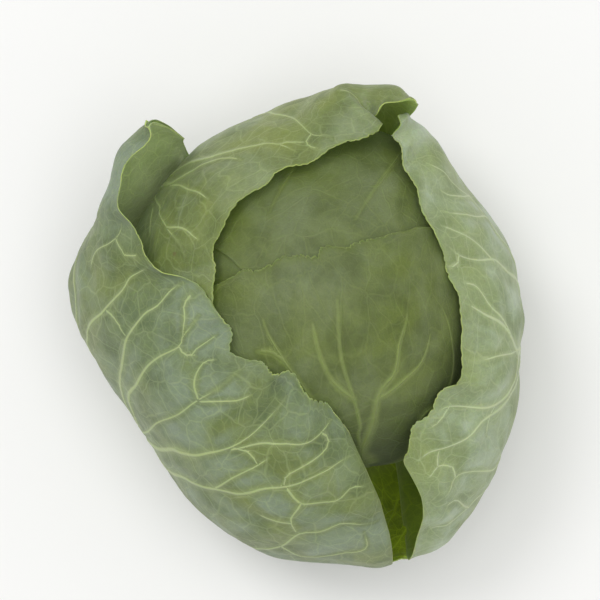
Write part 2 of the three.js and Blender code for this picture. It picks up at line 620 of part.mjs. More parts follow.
const bladeThickness = (v) => BLADE_THICKNESS + (ROOT_THICKNESS - BLADE_THICKNESS) * (1 - v) ** 3;

function wrapperGeometry(leaf, veins, ribHeight) {
  const surface = leafSurface(leaf);
  const routes = veins.pairs ? ruledRoutes(surface, veins) : tracedRoutes(surface, veins);
  const sized = sizedVeins(routes, ribHeight, VEIN_HEIGHT);
  return leafGeometry(surface, sized, { step: WRAPPER_STEP, thicknessAt: bladeThickness });
}

function capGeometry() {
  const surface = leafSurface(CAP_LEAF);
  const veins = sizedVeins(tracedRoutes(surface, CAP_VEINS), HEAD_RIB_HEIGHT, CAP_VEIN_HEIGHT);
  return leafGeometry(surface, veins, { step: HEAD_STEP, thicknessAt: () => CAP_THICKNESS });
}

// The closed head: its core, with the sheet, the rib and the veins of its own outer leaf.
function heartGeometry() {
  const ball = new THREE.SphereGeometry(1, CORE_SIDES, CORE_RINGS).rotateX(Math.PI / 2);
  const core = reshaped(ball, (way) => ontoHead(way.add(HEAD_CENTRE), -HEART_LEAF_STANDS_OUT));
  const surface = leafSurface(HEART_LEAF);
  const veins = sizedVeins(ruledRoutes(surface, HEART_VEINS), HEAD_RIB_HEIGHT, HEART_VEIN_HEIGHT);
  const skin = leafGeometry(surface, veins, { step: HEAD_STEP, thicknessAt: () => HEART_LEAF_THICKNESS });
  return geometryOf(solid(core).add(solid(skin)));
}

function stemGeometry() {
  const profile = STEM_PROFILE.map(([radius, height]) => new THREE.Vector2(radius, height));
  const turned = new THREE.LatheGeometry(profile, STEM_SIDES).rotateX(Math.PI / 2);
  return reshaped(turned, (point) => {
    const lump = Math.sin(STEM_LUMPS * Math.atan2(point.y, point.x)) - 1;
    const share = 1 + (STEM_LUMP_HEIGHT / STEM_RADIUS) * lump;
    return point.multiply(new THREE.Vector3(share, share, 1));
  });
}

function plainMaterial(color, roughness) {
  return new THREE.MeshStandardMaterial({ color, roughness, metalness: 0 });
}

function part(name, geometry, material) {
  const mesh = new THREE.Mesh(geometry, material);
  mesh.name = name;
  return mesh;
}

const cabbage = new THREE.Group();
cabbage.add(
  part('stem', stemGeometry(), plainMaterial(STEM_COLOUR, STEM_ROUGHNESS)),
  part('heart', heartGeometry(), plainMaterial(HEART_COLOUR, LEAF_ROUGHNESS)),
  part('cap_leaf', capGeometry(), plainMaterial(CAP_COLOUR, LEAF_ROUGHNESS)),
  part(
    'right_leaf',
    wrapperGeometry(RIGHT_LEAF, RIGHT_VEINS, STOUT_RIB_HEIGHT),
    plainMaterial(RIGHT_COLOUR, LEAF_ROUGHNESS),
  ),
  part(
    'top_leaf',
    wrapperGeometry(TOP_LEAF, TOP_VEINS, LOW_RIB_HEIGHT),
    plainMaterial(TOP_COLOUR, LEAF_ROUGHNESS),
  ),
  part(
    'left_leaf',
    wrapperGeometry(LEFT_LEAF, LEFT_VEINS, STOUT_RIB_HEIGHT),
    plainMaterial(LEFT_COLOUR, LEAF_ROUGHNESS),
  ),
  part(
    'base_leaf',
    wrapperGeometry(BASE_LEAF, BASE_VEINS, LOW_RIB_HEIGHT),
    plainMaterial(BASE_COLOUR, LEAF_ROUGHNESS),
  ),
);

export default cabbage;
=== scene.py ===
"""A green cabbage: a dense head in four loose wrapper leaves, standing on its cut stem."""
import functools
import math

import bpy
import numpy as np
from mathutils import Matrix, Vector


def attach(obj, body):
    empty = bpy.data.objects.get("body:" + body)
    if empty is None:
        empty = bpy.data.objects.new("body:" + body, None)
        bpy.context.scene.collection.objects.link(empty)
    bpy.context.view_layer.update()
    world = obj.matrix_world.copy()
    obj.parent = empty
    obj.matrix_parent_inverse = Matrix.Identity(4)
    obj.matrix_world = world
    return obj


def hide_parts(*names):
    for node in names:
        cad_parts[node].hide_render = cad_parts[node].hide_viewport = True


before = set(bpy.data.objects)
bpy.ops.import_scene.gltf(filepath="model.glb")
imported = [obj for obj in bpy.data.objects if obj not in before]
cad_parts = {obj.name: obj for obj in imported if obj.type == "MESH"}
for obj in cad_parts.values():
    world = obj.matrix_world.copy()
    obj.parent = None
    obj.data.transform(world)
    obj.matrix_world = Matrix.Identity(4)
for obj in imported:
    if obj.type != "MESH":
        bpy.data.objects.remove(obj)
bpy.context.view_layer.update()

MM = 0.001

# The head, the stem and the leaf sheets, in millimetres. Each bulge of the head has its azimuth
# and elevation, how far it stands out, and its spread in degrees.
HEAD_RADIUS = 78
HEAD_HALF_HEIGHT = 72
HEAD_CENTRE = np.array([0.0, 0.0, 92.0])
HEAD_BULGES = [(66, 15, 13, 24), (312, 0, 9, 22)]
STEM_RADIUS = 17
STEM_TOP = 19.3
ROOT_RADIUS = STEM_RADIUS + 0.7
BLADE_THICKNESS = 1.2
EDGE_THICKNESS = 0.5
ROOT_THICKNESS = 2.2
CAP_THICKNESS = 1.4
HEART_LEAF_THICKNESS = 3.2
HEART_LEAF_STANDS_OUT = 1.6
STOUT_RIB_HEIGHT = 5
LOW_RIB_HEIGHT = 3
HEAD_RIB_HEIGHT = 2.5
VEIN_HEIGHT = 0.6
CAP_VEIN_HEIGHT = 0.5
HEART_VEIN_HEIGHT = 0.35

# The rows under a leaf's belly: each one's turn out of the root (degrees) and its share of the
# leaf's spread.
UNDER_ROWS = [(30, 0.6), (60, 0.93)]

# Where on its way up a blade waves, is lobed and is notched (shares of its height), and the
# waved band along its sides (its share of the width, and where on the way up it begins).
WAVY_FROM = 0.62
WAVY_SIDE = 0.125
WAVY_SIDE_RISE = (0.3, 0.6)
LOBED_FROM = 0.6
LOBE_DRIFT = 17
NOTCHED_FROM = 0.94

# The sheets' grid, and how far in from its margin a blade gets its full thickness.
CELL = 1.3
RIM_FADE = 6
FLAT_STEPS = 24
NORMAL_STEP = 0.004

# How a blade lies between its veins: loose ones swell and stray, the head's own are drawn tight.
# Veins stand out less on the inner face, and the loose lie starts a little above the root.
LOOSE_BLADE = {"Swell": 1.7 * MM, "Swell Reach": 11 * MM, "Unevenness": 4.4 * MM}
TIGHT_BLADE = {"Swell": 0.35 * MM}
LOOSE_RISE = (0.12, 0.4)
UNEVENNESS_NOISE = {"Scale": 30.0, "Detail": 3.0}
INNER_RELIEF = 0.35
RIDGE_FALL = 0.8

# Each leaf's rows run from the stem to its edge. belly, shoulder and margin are lists of
# (azimuth in degrees, radius, height), one entry a station across the leaf; middle is the
# azimuth of the midrib and waist the share of the leaf's spread that is left at its root. wave
# has the height, count and phase of its ripples, and lobes the depth and count of its lobes.
LEFT_LEAF = {
    "middle": 217, "root_height": 9, "waist": 0.6,
    "wave": (1.7, 8.5, 0.4), "lobes": (0.012, 7.2),
    "belly": [(129.5, 100, 88), (133.7, 100.3, 88), (140, 100.6, 88), (148, 101.6, 88),
              (155.5, 107, 86), (162, 114.5, 84), (168, 118.5, 84), (176, 120, 84), (187, 116, 84),
              (199, 109, 84), (213, 106, 84), (230, 110.6, 84), (243, 117, 84), (257, 125, 84),
              (270, 126.3, 84), (280, 130, 84), (286.4, 133.2, 82)],
    "shoulder": [(130, 102.5, 120), (133.6, 116.5, 129), (140.3, 116.8, 127), (148, 115.5, 126),
                 (155, 113.5, 122), (160.5, 110.5, 122), (167, 105, 126), (174, 97, 132),
                 (187, 93, 138), (199, 87, 140), (213, 84, 142), (230, 86, 142), (243, 91, 142),
                 (257, 97, 140), (270, 100, 137), (280, 103.5, 134), (287.8, 103, 128)],
    "margin": [(132.2, 119, 143), (133.9, 113, 145), (139.3, 108.4, 145), (147.5, 109.5, 144),
               (153.5, 103.5, 143), (158.5, 90.5, 145), (166.5, 77.5, 151), (173, 52, 161),
               (187, 44.5, 163), (200, 41.5, 164), (213, 42, 165), (230, 36.5, 166), (243, 33, 165),
               (260, 37, 163), (270, 42, 161), (278, 48.5, 159), (283.8, 60, 154)],
}
TOP_LEAF = {
    "middle": 143, "root_height": 13.5, "waist": 0.6,
    "wave": (1.3, 7, 1.9), "lobes": (0.012, 5.7),
    "belly": [(63.6, 102.8, 122), (67, 106.5, 122), (71, 106.7, 120), (74.5, 105.5, 117),
              (78, 104, 115), (81, 102.8, 113), (85, 101.3, 110), (89.5, 100, 106), (94, 98, 101),
              (100, 96.8, 97), (108, 95.5, 94), (118, 94.5, 92), (130, 94.3, 90), (142, 93.5, 90),
              (154, 94, 90), (166, 93.5, 90), (180, 91, 90), (195, 88, 90)],
    "shoulder": [(64.3, 104.3, 137), (66.6, 107, 139), (69.2, 108, 139), (73, 106.4, 139),
                 (80.5, 103.6, 136), (84, 101.2, 139.5), (86.5, 97, 138.5), (89.5, 92.5, 136),
                 (93.5, 89.5, 134), (99, 86, 131), (108, 82.5, 130), (118, 81.5, 130), (130, 81, 130),
                 (142, 80.5, 130), (154, 80, 130), (166, 78, 131), (180, 76, 132), (195, 74.5, 132)],
    "margin": [(65, 104.6, 146), (67.4, 103, 149.5), (70, 98.7, 149), (71.7, 94.4, 147),
               (73.3, 90, 142), (69.7, 86.9, 151), (73, 80.3, 150), (79.1, 75.9, 149),
               (88.6, 69.5, 148), (94.6, 65, 148), (104, 63, 148), (114, 60, 148), (128, 57, 150),
               (140, 56, 152), (149, 55, 153), (157, 51, 156), (167, 47, 158), (183, 46, 159)],
}
RIGHT_LEAF = {
    "middle": 347, "root_height": 15, "waist": 0.6,
    "wave": (1.6, 8, 4.1), "lobes": (0.014, 6.1),
    "belly": [(290, 134.6, 82), (297, 133, 83), (305.6, 127.3, 84), (313, 123, 85), (320, 117.5, 86),
              (332, 110, 86), (347, 102.7, 86), (360, 100.3, 86), (374, 98.8, 86), (385, 94.7, 86),
              (396, 92, 88), (406, 92, 90), (413, 94, 92), (418, 95.5, 93), (421.5, 96.5, 95),
              (424, 97, 97), (425.5, 97.5, 100)],
    "shoulder": [(297.6, 112, 122), (303, 111, 122), (310, 107.5, 122), (317, 104.5, 122),
                 (324, 101, 122), (334, 97.5, 122), (347, 94, 122), (360, 89.5, 122), (374, 87.5, 122),
                 (385, 86, 122), (396, 86, 122), (406, 89, 124), (413, 93, 126), (418, 95, 128),
                 (421.5, 96.5, 129), (424, 97.5, 130), (426, 98.5, 131)],
    "margin": [(298.8, 87.5, 134), (301.2, 79.5, 136.5), (307, 74.5, 137.5), (315, 72.5, 137.5),
               (324, 72.5, 137), (332, 75.5, 136.5), (344, 70, 138.8), (360, 66.2, 140.7),
               (374, 63.6, 143), (386, 64, 144.4), (398, 65.8, 144), (409, 68.8, 142.4),
               (416, 74.5, 141), (421.5, 81.2, 141), (425, 85.5, 141.5), (426.4, 91, 141.5),
               (426.8, 97, 140.5)],
}
BASE_LEAF = {
    "middle": 305, "root_height": 6, "waist": 0.6,
    "wave": (1, 2.5, 0), "lobes": (0.012, 2.6),
    "belly": [(281, 124.5, 49), (285, 124.5, 49), (288.5, 122, 50), (291.5, 122.5, 50),
              (297, 119.5, 46), (306, 112, 41), (316, 105, 36), (328, 97, 31)],
    "shoulder": [(281, 130.5, 56), (285, 131.5, 58.5), (288.5, 131, 60), (291, 131, 57),
                 (296, 127.2, 52), (306, 118, 48), (317, 110.5, 41), (330, 101.5, 35)],
    "margin": [(281, 132.5, 61), (285, 133.5, 65), (288.2, 134.3, 70), (290, 134.2, 66),
               (294, 132, 60), (305, 123, 54), (318, 113.5, 44), (332, 103.5, 36)],
}

# The cap leaf and the head's outer leaf lie on the head: of their rows only the directions from
# its centre count, and lift is how far they stand over it.
CAP_LEAF = {
    "middle": 289, "root_height": 18.5, "waist": 0.5, "lift": 3.2,
    "wave": (0, 0, 2.2), "lobes": (0.01, 4.3),
    "belly": [(205, 78, 92), (225, 78, 92), (245, 78, 92), (265, 78, 92), (289, 78, 92), (313, 78, 92),
              (333, 78, 92), (353, 78, 92), (373, 78, 92)],
    "shoulder": [(190, 66, 125), (212, 62, 130), (235, 60, 135), (260, 58, 138), (289, 56, 140),
                 (318, 58, 138), (343, 60, 135), (366, 62, 130), (388, 66, 125)],
    "margin": [(172, 52, 140), (165, 42, 150), (148, 32, 155), (125, 26, 160), (105, 24, 160),
               (85, 26, 160), (62, 32, 155), (45, 42, 150), (38, 52, 140)],
}
HEART_LEAF = {
    "middle": 62, "root_height": 18.5, "waist": 0.5, "lift": 0,
    "wave": (0, 0, 0.7), "lobes": (0.01, 4.6),
    "belly": [(-35, 78, 92), (-10, 78, 92), (15, 78, 92), (40, 78, 92), (62, 78, 92), (84, 78, 92),
              (109, 78, 92), (134, 78, 92), (159, 78, 92)],
    "shoulder": [(-28, 60, 128), (-12, 58, 132), (12, 56, 136), (38, 54, 139), (62, 53, 140),
                 (86, 54, 139), (112, 56, 136), (136, 58, 132), (152, 60, 128)],
    "margin": [(-28, 44, 148), (-38, 30, 156), (-50, 20, 160), (-75, 10, 163), (-118, 8, 163),
               (-161, 10, 163), (174, 20, 160), (162, 30, 156), (152, 44, 148)],
}

# Veins as they run seen from straight above: view positions, right and down from the corner of
# a square grid of VIEW_STEP centred over VIEW_AXIS, VIEW_DISTANCE below the eye.
VIEW_STEP = 0.467
VIEW_MIDDLE = 300
VIEW_AXIS = (-7.8, 1.5)
VIEW_DISTANCE = 1600
VIEW_HEIGHT = 168
SEARCH_ACROSS = 360
SEARCH_ALONG = 200
SEARCH_FROM = 0.45
SEARCH_UPWARDS = 0.02
LEFT_VEINS = {
    "midrib": [(143, 434), (158, 424), (180, 412), (200, 400), (220, 386), (238, 370)],
    "laterals": [
        [(148, 442), (170, 450), (190, 453), (210, 451), (234, 444), (255, 430), (275, 412), (288, 396)],
        [(166, 468), (180, 476), (195, 482), (215, 487), (241, 494), (262, 489), (280, 484), (310, 474),
         (330, 466), (355, 452)],
        [(240, 545), (260, 548), (282, 546), (298, 532), (320, 531), (342, 525), (360, 523), (378, 519)],
        [(134, 416), (129, 398), (138, 382), (148, 368), (160, 356), (179, 346), (182, 338), (190, 328),
         (202, 314)],
        [(120, 378), (123, 356), (128, 337), (146, 315), (160, 306), (174, 290), (186, 283)],
        [(90, 352), (88, 338), (89, 328), (100, 316), (108, 306), (124, 290), (135, 277), (150, 266)],
        [(77, 300), (83, 243), (98, 215), (108, 198)],
    ],
    "branches": [
        [(234, 445), (255, 444), (276, 444), (292, 440), (322, 428), (332, 417)],
        [(215, 487), (237, 475), (257, 465), (270, 457)],
        [(179, 346), (184, 352), (193, 355), (198, 348), (218, 334)],
        [(198, 398), (198, 382), (202, 368), (210, 359), (224, 356)],
        [(200, 401), (220, 402), (240, 399), (256, 390)],
        [(322, 429), (327, 435), (326, 445), (305, 460), (289, 470), (285, 480), (280, 484)],
        [(288, 484), (302, 499), (320, 500), (336, 500), (350, 487), (365, 485)],
        [(302, 499), (294, 512), (292, 520), (297, 530)],
        [(292, 520), (275, 519), (255, 512)],
        [(282, 546), (292, 552), (302, 556), (320, 556), (340, 553), (357, 550), (366, 543), (363, 530)],
        [(108, 311), (118, 320), (126, 336)],
        [(198, 294), (188, 302), (187, 318), (182, 338)],
        [(92, 270), (98, 252), (117, 238), (122, 223)],
        [(117, 238), (124, 250), (128, 256), (140, 255)],
        [(234, 444), (248, 452), (258, 466)],
    ],
}
TOP_VEINS = {
    "midrib": [(158, 203), (160, 215), (168, 228), (180, 243), (187, 258)],
    "laterals": [
        [(173, 184), (190, 172), (205, 163), (226, 157), (242, 159)],
        [(212, 156), (230, 150), (244, 147), (266, 145), (280, 147), (298, 153)],
        [(262, 112), (274, 114), (290, 116), (300, 123), (310, 133), (328, 137), (336, 143)],
    ],
    "branches": [
        [(171, 187), (182, 187), (193, 191), (212, 202)],
        [(310, 133), (306, 138), (306, 143), (318, 148)],
        [(153, 209), (151, 222), (150, 238)],
        [(338, 92), (349, 95), (356, 99), (361, 106), (366, 111)],
        [(280, 147), (292, 142), (306, 141)],
        [(168, 228), (186, 230), (200, 240)],
    ],
}
RIGHT_VEINS = {
    "midrib": [(520, 350), (500, 356), (482, 359), (464, 361)],
    "laterals": [
        [(516, 350), (510, 335), (500, 325), (480, 312), (462, 303)],
        [(517, 353), (514, 372), (507, 392), (495, 405), (475, 409), (450, 406), (428, 410)],
        [(510, 392), (500, 407), (487, 419), (470, 433), (455, 441), (442, 449), (423, 453), (411, 458)],
        [(499, 463), (485, 470), (470, 472), (454, 477), (447, 490), (437, 500)],
        [(480, 495), (468, 507), (458, 516), (448, 523), (434, 528), (425, 540)],
        [(521, 288), (507, 271), (496, 262), (475, 259), (457, 256), (442, 244)],
        [(500, 238), (487, 220), (472, 217), (457, 214), (440, 210)],
    ],
    "branches": [
        [(510, 335), (500, 317), (487, 305), (475, 288), (460, 282)],
        [(454, 477), (452, 467), (436, 465), (424, 476)],
        [(436, 465), (440, 451)],
        [(450, 406), (438, 415), (426, 428)],
        [(494, 262), (482, 250), (462, 235), (440, 226)],
        [(484, 218), (470, 197), (452, 181), (434, 169), (424, 164)],
        [(457, 256), (456, 264), (448, 268)],
        [(470, 196), (455, 196), (440, 190)],
        [(495, 405), (489, 420), (486, 436)],
        [(468, 507), (455, 500), (444, 505)],
    ],
}
CAP_VEINS = {
    "midrib": [(362, 452), (360, 424), (352, 396), (342, 363), (336, 330), (332, 290)],
    "laterals": [
        [(364, 448), (377, 396), (394, 371), (398, 342), (404, 310)],
        [(340, 440), (312, 400), (283, 360), (270, 335), (262, 312)],
        [(420, 420), (442, 400), (452, 372), (449, 329), (440, 305)],
    ],
    "branches": [
        [(283, 360), (272, 350), (256, 345)],
        [(352, 396), (330, 378), (318, 352), (312, 320)],
        [(377, 396), (400, 384), (420, 362), (428, 330)],
    ],
}

# Veins by rule: how high the midrib reaches, and for each pair of side veins where on it they
# start and end and how far they spread.
HEART_VEINS = {"top": 0.86,
               "pairs": [(0.16, 0.5, 0.8), (0.26, 0.66, 0.75), (0.4, 0.78, 0.66), (0.56, 0.86, 0.5)]}
BASE_VEINS = {"top": 0.95, "pairs": [(0.3, 0.66, 0.8), (0.5, 0.85, 0.8)]}

# A ruled side vein bends up at its knee, where its fork leaves it, and the fork has one bend and a
# tip: shares of the side vein's way out and up, and the rise from the knee to the fork's bend.
KNEE = (0.55, 0.4)
FORK_BEND = 0.8
FORK_BEND_RISE = 0.02
FORK_TIP = (1.1, 0.55)

# The levels of a midrib's hidden lower end, and how far aside a ruled one sways at which shares of
# its height.
MIDRIB_START = 0.02
MIDRIB_RISE = 0.3
MIDRIB_SWAYS = [(0.01, 0.45), (-0.012, 0.75), (0.015, 1)]

# A side vein that is drawn from where it shows is carried on, unseen, to the midrib: it drops
# by the least drop and more the further off it starts, and sags on the way.
JOIN_LOWEST = 0.12
JOIN_LEAST_DROP = 0.06
JOIN_DROP_RATE = 0.9
JOIN_SAG = 0.12

# Each kind's half widths at its start and end, its height against VEIN_HEIGHT, and how soon it
# thins out. A vein's colour dies away towards an open end, over a share of its length.
MIDRIB = {"halves": (6.5, 0.3), "haste": 4}
LATERAL = {"halves": (1.3, 0.2), "height": 1.4, "haste": 1.1}
BRANCH = {"halves": (0.52, 0.2), "height": 0.7, "haste": 0.7}
VEIN_SAMPLES = 160
VEIN_STEP = 2.5
VEIN_WOBBLE = 0.4
WOBBLE_RATE = 0.21
VEIN_LIMITS = (0.003, 0.997)
VEIN_RUN_ON = 2 * CELL
FADED_AWAY = 2.5
FADED_SHARE = 0.12
POINTS_AT_ONCE = 4000


# ---------------------------------------------------------------- leaf surfaces

def from_axis(azimuth, radius, height):
    angle = math.radians(azimuth)
    return (radius * math.cos(angle), radius * math.sin(angle), height)


def through(points, t):
    """Catmull-Rom at t (0 to 1) through points; a stack of points has one curve for each t."""
    last = len(points) - 1
    ends = np.concatenate([2 * points[:1] - points[1:2], points, 2 * points[-1:] - points[-2:-1]])
    place = np.clip(t, 0, 1) * last
    i = np.minimum(place.astype(int), last - 1)
    f = (place - i)[:, None]
    pick = (lambda k: ends[k, np.arange(len(t))]) if points.ndim == 3 else (lambda k: ends[k])
    a, b, c, d = pick(i), pick(i + 1), pick(i + 2), pick(i + 3)
    curve = (2 * a - 5 * b + 4 * c - d) * f ** 2 + (3 * b - a - 3 * c + d) * f ** 3
    return 0.5 * (2 * b + (c - a) * f + curve)


def leaf_rows(leaf):
    def narrowed(azimuth, share):
        return leaf["middle"] + (azimuth - leaf["middle"]) * share

    root = [narrowed(azimuth, leaf["waist"]) for azimuth, _, _ in leaf["belly"]]
    rows = [[from_axis(azimuth, ROOT_RADIUS, leaf["root_height"]) for azimuth in root]]
    for turn, spread in UNDER_ROWS:
        angle = math.radians(turn)
        share = leaf["waist"] + (1 - leaf["waist"]) * spread
        rows.append([from_axis(
            narrowed(a, share),
            ROOT_RADIUS + (radius - ROOT_RADIUS) * math.sin(angle),
            leaf["root_height"] + (height - leaf["root_height"]) * (1 - math.cos(angle)),
        ) for a, radius, height in leaf["belly"]])
    rows += [[from_axis(*entry) for entry in leaf[name]] for name in ("belly", "shoulder", "margin")]
    return [np.array(row) for row in rows]


def onto_head(points, lift):
    """The points of the head's surface, raised by lift, in the directions of points."""
    out = unit(points - HEAD_CENTRE)
    flat = (out[:, 0] ** 2 + out[:, 1] ** 2) / HEAD_RADIUS ** 2
    reach = 1 / np.sqrt(flat + out[:, 2] ** 2 / HEAD_HALF_HEIGHT ** 2)
    for azimuth, elevation, height, spread in HEAD_BULGES:
        rise = math.radians(elevation)
        way = from_axis(azimuth, math.cos(rise), math.sin(rise))
        away = np.degrees(np.arccos(np.clip(out @ np.array(way), -1, 1))) / spread
        reach += height * np.exp(-away ** 2)
    return HEAD_CENTRE + out * (reach + lift)[:, None]


def smoothstep(x, low, high):
    t = np.clip((x - low) / (high - low), 0, 1)
    return t * t * (3 - 2 * t)


def unit(vectors):
    return vectors / np.linalg.norm(vectors, axis=-1, keepdims=True)


class LeafForm:
    """A leaf's smooth outer face over u (side to side) and v (root to margin), and its flat plan."""

    def __init__(self, leaf):
        self.leaf = leaf
        self.rows = leaf_rows(leaf)
        azimuths = [entry[0] for entry in leaf["belly"]]
        self.middle = float(np.interp(leaf["middle"], azimuths, np.linspace(0, 1, len(azimuths))))
        levels = np.linspace(0, 1, FLAT_STEPS + 1)
        self.height = self.run(self.plain(np.full_like(levels, self.middle), levels))
        self.widths = np.array([self.run(self.plain(levels, np.full_like(levels, v))) for v in levels])

    @staticmethod
    def run(points):
        return float(np.linalg.norm(np.diff(points, axis=0), axis=1).sum())

    def plain(self, u, v):
        points = through(np.array([through(row, u) for row in self.rows]), v)
        return onto_head(points, self.leaf["lift"]) if "lift" in self.leaf else points

    def normal(self, u, v):
        if "lift" in self.leaf:
            return unit(self.plain(u, v) - HEAD_CENTRE)
        step = NORMAL_STEP
        across = self.plain(np.minimum(u + step, 1), v) - self.plain(np.maximum(u - step, 0), v)
        along = self.plain(u, np.minimum(v + step, 1)) - self.plain(u, np.maximum(v - step, 0))
        return unit(np.cross(across, along))

    def width_at(self, v):
        return np.interp(v, np.linspace(0, 1, FLAT_STEPS + 1), self.widths)

    def flat(self, u, v):
        """Millimetres across from the midrib and up from the root."""
        return np.stack([(u - self.middle) * self.width_at(v), v * self.height], axis=-1)

    def face(self, u, v):
        """Points and normals of the waved, lobed face with its finely notched margin."""
        height, count, phase = self.leaf["wave"]
        depth, lobes = self.leaf["lobes"]
        ripple = np.sin(count * 2 * math.pi * u + phase)
        lobe = 0.5 + 0.5 * np.sin(lobes * 2 * math.pi * u + np.sin(LOBE_DRIFT * u + phase))
        notch = notches(u * self.width_at(1), phase)
        lobed = depth * lobe * smoothstep(v, LOBED_FROM, 1)
        notched = notch / self.height * smoothstep(v, NOTCHED_FROM, 1)
        reach = v * (1 - (lobed + notched))
        beside = np.maximum(0, 1 - np.minimum(u, 1 - u) / WAVY_SIDE)
        share = np.maximum(smoothstep(v, WAVY_FROM, 1), beside * smoothstep(v, *WAVY_SIDE_RISE))
        out = self.normal(u, reach)
        return self.plain(u, reach) + out * (height * ripple * share)[:, None], out

    def place(self, position):
        """The u, v behind a view position, the highest where there are two."""
        if not hasattr(self, "search"):
            ways = (np.linspace(0, 1, SEARCH_ACROSS), np.linspace(SEARCH_FROM, 1, SEARCH_ALONG))
            u, v = [grid.ravel() for grid in np.meshgrid(*ways)]
            points = self.plain(u, v)
            nearness = VIEW_DISTANCE / (VIEW_DISTANCE + VIEW_HEIGHT - points[:, 2])
            seen = (points[:, :2] - VIEW_AXIS) * nearness[:, None]
            self.search = (u, v, seen, points[:, 2])
        u, v, seen, z = self.search
        aim = ((position[0] - VIEW_MIDDLE) * VIEW_STEP, (VIEW_MIDDLE - position[1]) * VIEW_STEP)
        best = np.argmin(np.linalg.norm(seen - aim, axis=1) - SEARCH_UPWARDS * z)
        return (u[best], v[best])


def notches(along, phase):
    """Fine irregular notches of a leaf's margin, in millimetres, along its edge."""
    coarse = np.sin(along * 0.31 + phase) * np.sin(along * 0.113 + 2 * phase)
    fine = np.sin(along * 1.13 + 3 * np.sin(along * 0.21))
    teeth = np.sin(along * 2.3 + 4 * np.sin(along * 0.17 + phase))
    return 0.9 * np.maximum(0, coarse) + 0.7 * np.maximum(0, fine) ** 2 + 0.6 * np.maximum(0, teeth) ** 3


# ---------------------------------------------------------------- veins

def traced_routes(form, veins):
    """Veins that show from above, carried down to the midrib: lists of u, v."""
    middle = form.middle
    laterals = []
    for course in veins["laterals"]:
        places = [form.place(position) for position in course]
        side, level = places[0]
        drop = JOIN_LEAST_DROP + JOIN_DROP_RATE * abs(side - middle)
        join = max(JOIN_LOWEST, level - drop)
        between = ((middle + side) / 2, (join + level) / 2 - JOIN_SAG * drop)
        laterals.append([(middle, join), between, *places])
    midrib = [(middle, MIDRIB_START), (middle, MIDRIB_RISE)]
    midrib += [form.place(position) for position in veins["midrib"]]
    branches = [[form.place(position) for position in course] for course in veins["branches"]]
    return midrib, laterals, branches


def ruled_routes(form, veins):
    """Veins by rule: pairs leave the midrib and bend up, each with a fork."""
    middle, top = form.middle, veins["top"]
    laterals, branches = [], []
    for start, end, spread in veins["pairs"]:
        for reach in (-middle, 1 - middle):
            out, up = reach * spread, end - start
            knee, tip = [(middle + wide * out, start + high * up) for wide, high in (KNEE, FORK_TIP)]
            laterals.append([(middle, start), knee, (middle + out, end)])
            branches.append([knee, (middle + FORK_BEND * out, knee[1] + FORK_BEND_RISE), tip])
    sways = [(middle + aside, top * share) for aside, share in MIDRIB_SWAYS]
    return [(middle, MIDRIB_START), *sways], laterals, branches


def vein_chains(form, routes, rib_height, vein_height):
    """Each vein as evenly spaced u, v with half widths and heights in millimetres. A vein thins
    out along its way, the midrib soonest."""
    midrib, laterals, branches = routes
    sized = [(midrib, MIDRIB, (rib_height, vein_height))]
    sized += [(route, LATERAL, (vein_height * LATERAL["height"], 0)) for route in laterals]
    sized += [(route, BRANCH, (vein_height * BRANCH["height"], 0)) for route in branches]
    chains = []
    for route, kind, (high, low) in sized:
        knots = np.column_stack([np.array(route), np.zeros(len(route))])
        spread = through(knots, np.linspace(0, 1, VEIN_SAMPLES))[:, :2]
        spread = np.clip(spread, *VEIN_LIMITS)
        flat = form.flat(spread[:, 0], spread[:, 1])
        along = np.concatenate([[0], np.cumsum(np.linalg.norm(np.diff(flat, axis=0), axis=1))])
        even = np.linspace(0, along[-1], max(3, int(along[-1] / VEIN_STEP)))
        share = even / along[-1]
        wobble = VEIN_WOBBLE * np.sin(even * WOBBLE_RATE + len(chains)) * np.sin(share * math.pi)
        u = np.interp(even, along, spread[:, 0])
        v = np.interp(even, along, spread[:, 1])
        u = np.clip(u + wobble / form.width_at(v), *VEIN_LIMITS)
        left = (1 - share) ** kind["haste"]
        wide, thin = kind["halves"]
        chains.append((u, v, thin + (wide - thin) * left, low + (high - low) * left))
    return chains


def faded_ends(flats):
    """How far each point of a vein counts as off it, in half widths, so that its colour dies away
    towards an end that meets no other vein."""
    fades = []
    for flat in flats:
        others = np.concatenate([other for other in flats if other is not flat])
        share = np.linspace(0, 1, len(flat))
        fade = np.zeros(len(flat))
        for tip, ahead in ((flat[0], share), (flat[-1], 1 - share)):
            if np.linalg.norm(others - tip, axis=1).min() > VEIN_STEP:
                fade = np.maximum(fade, FADED_AWAY * (1 - smoothstep(ahead, 0, FADED_SHARE)))
        fades.append(fade)
    return fades


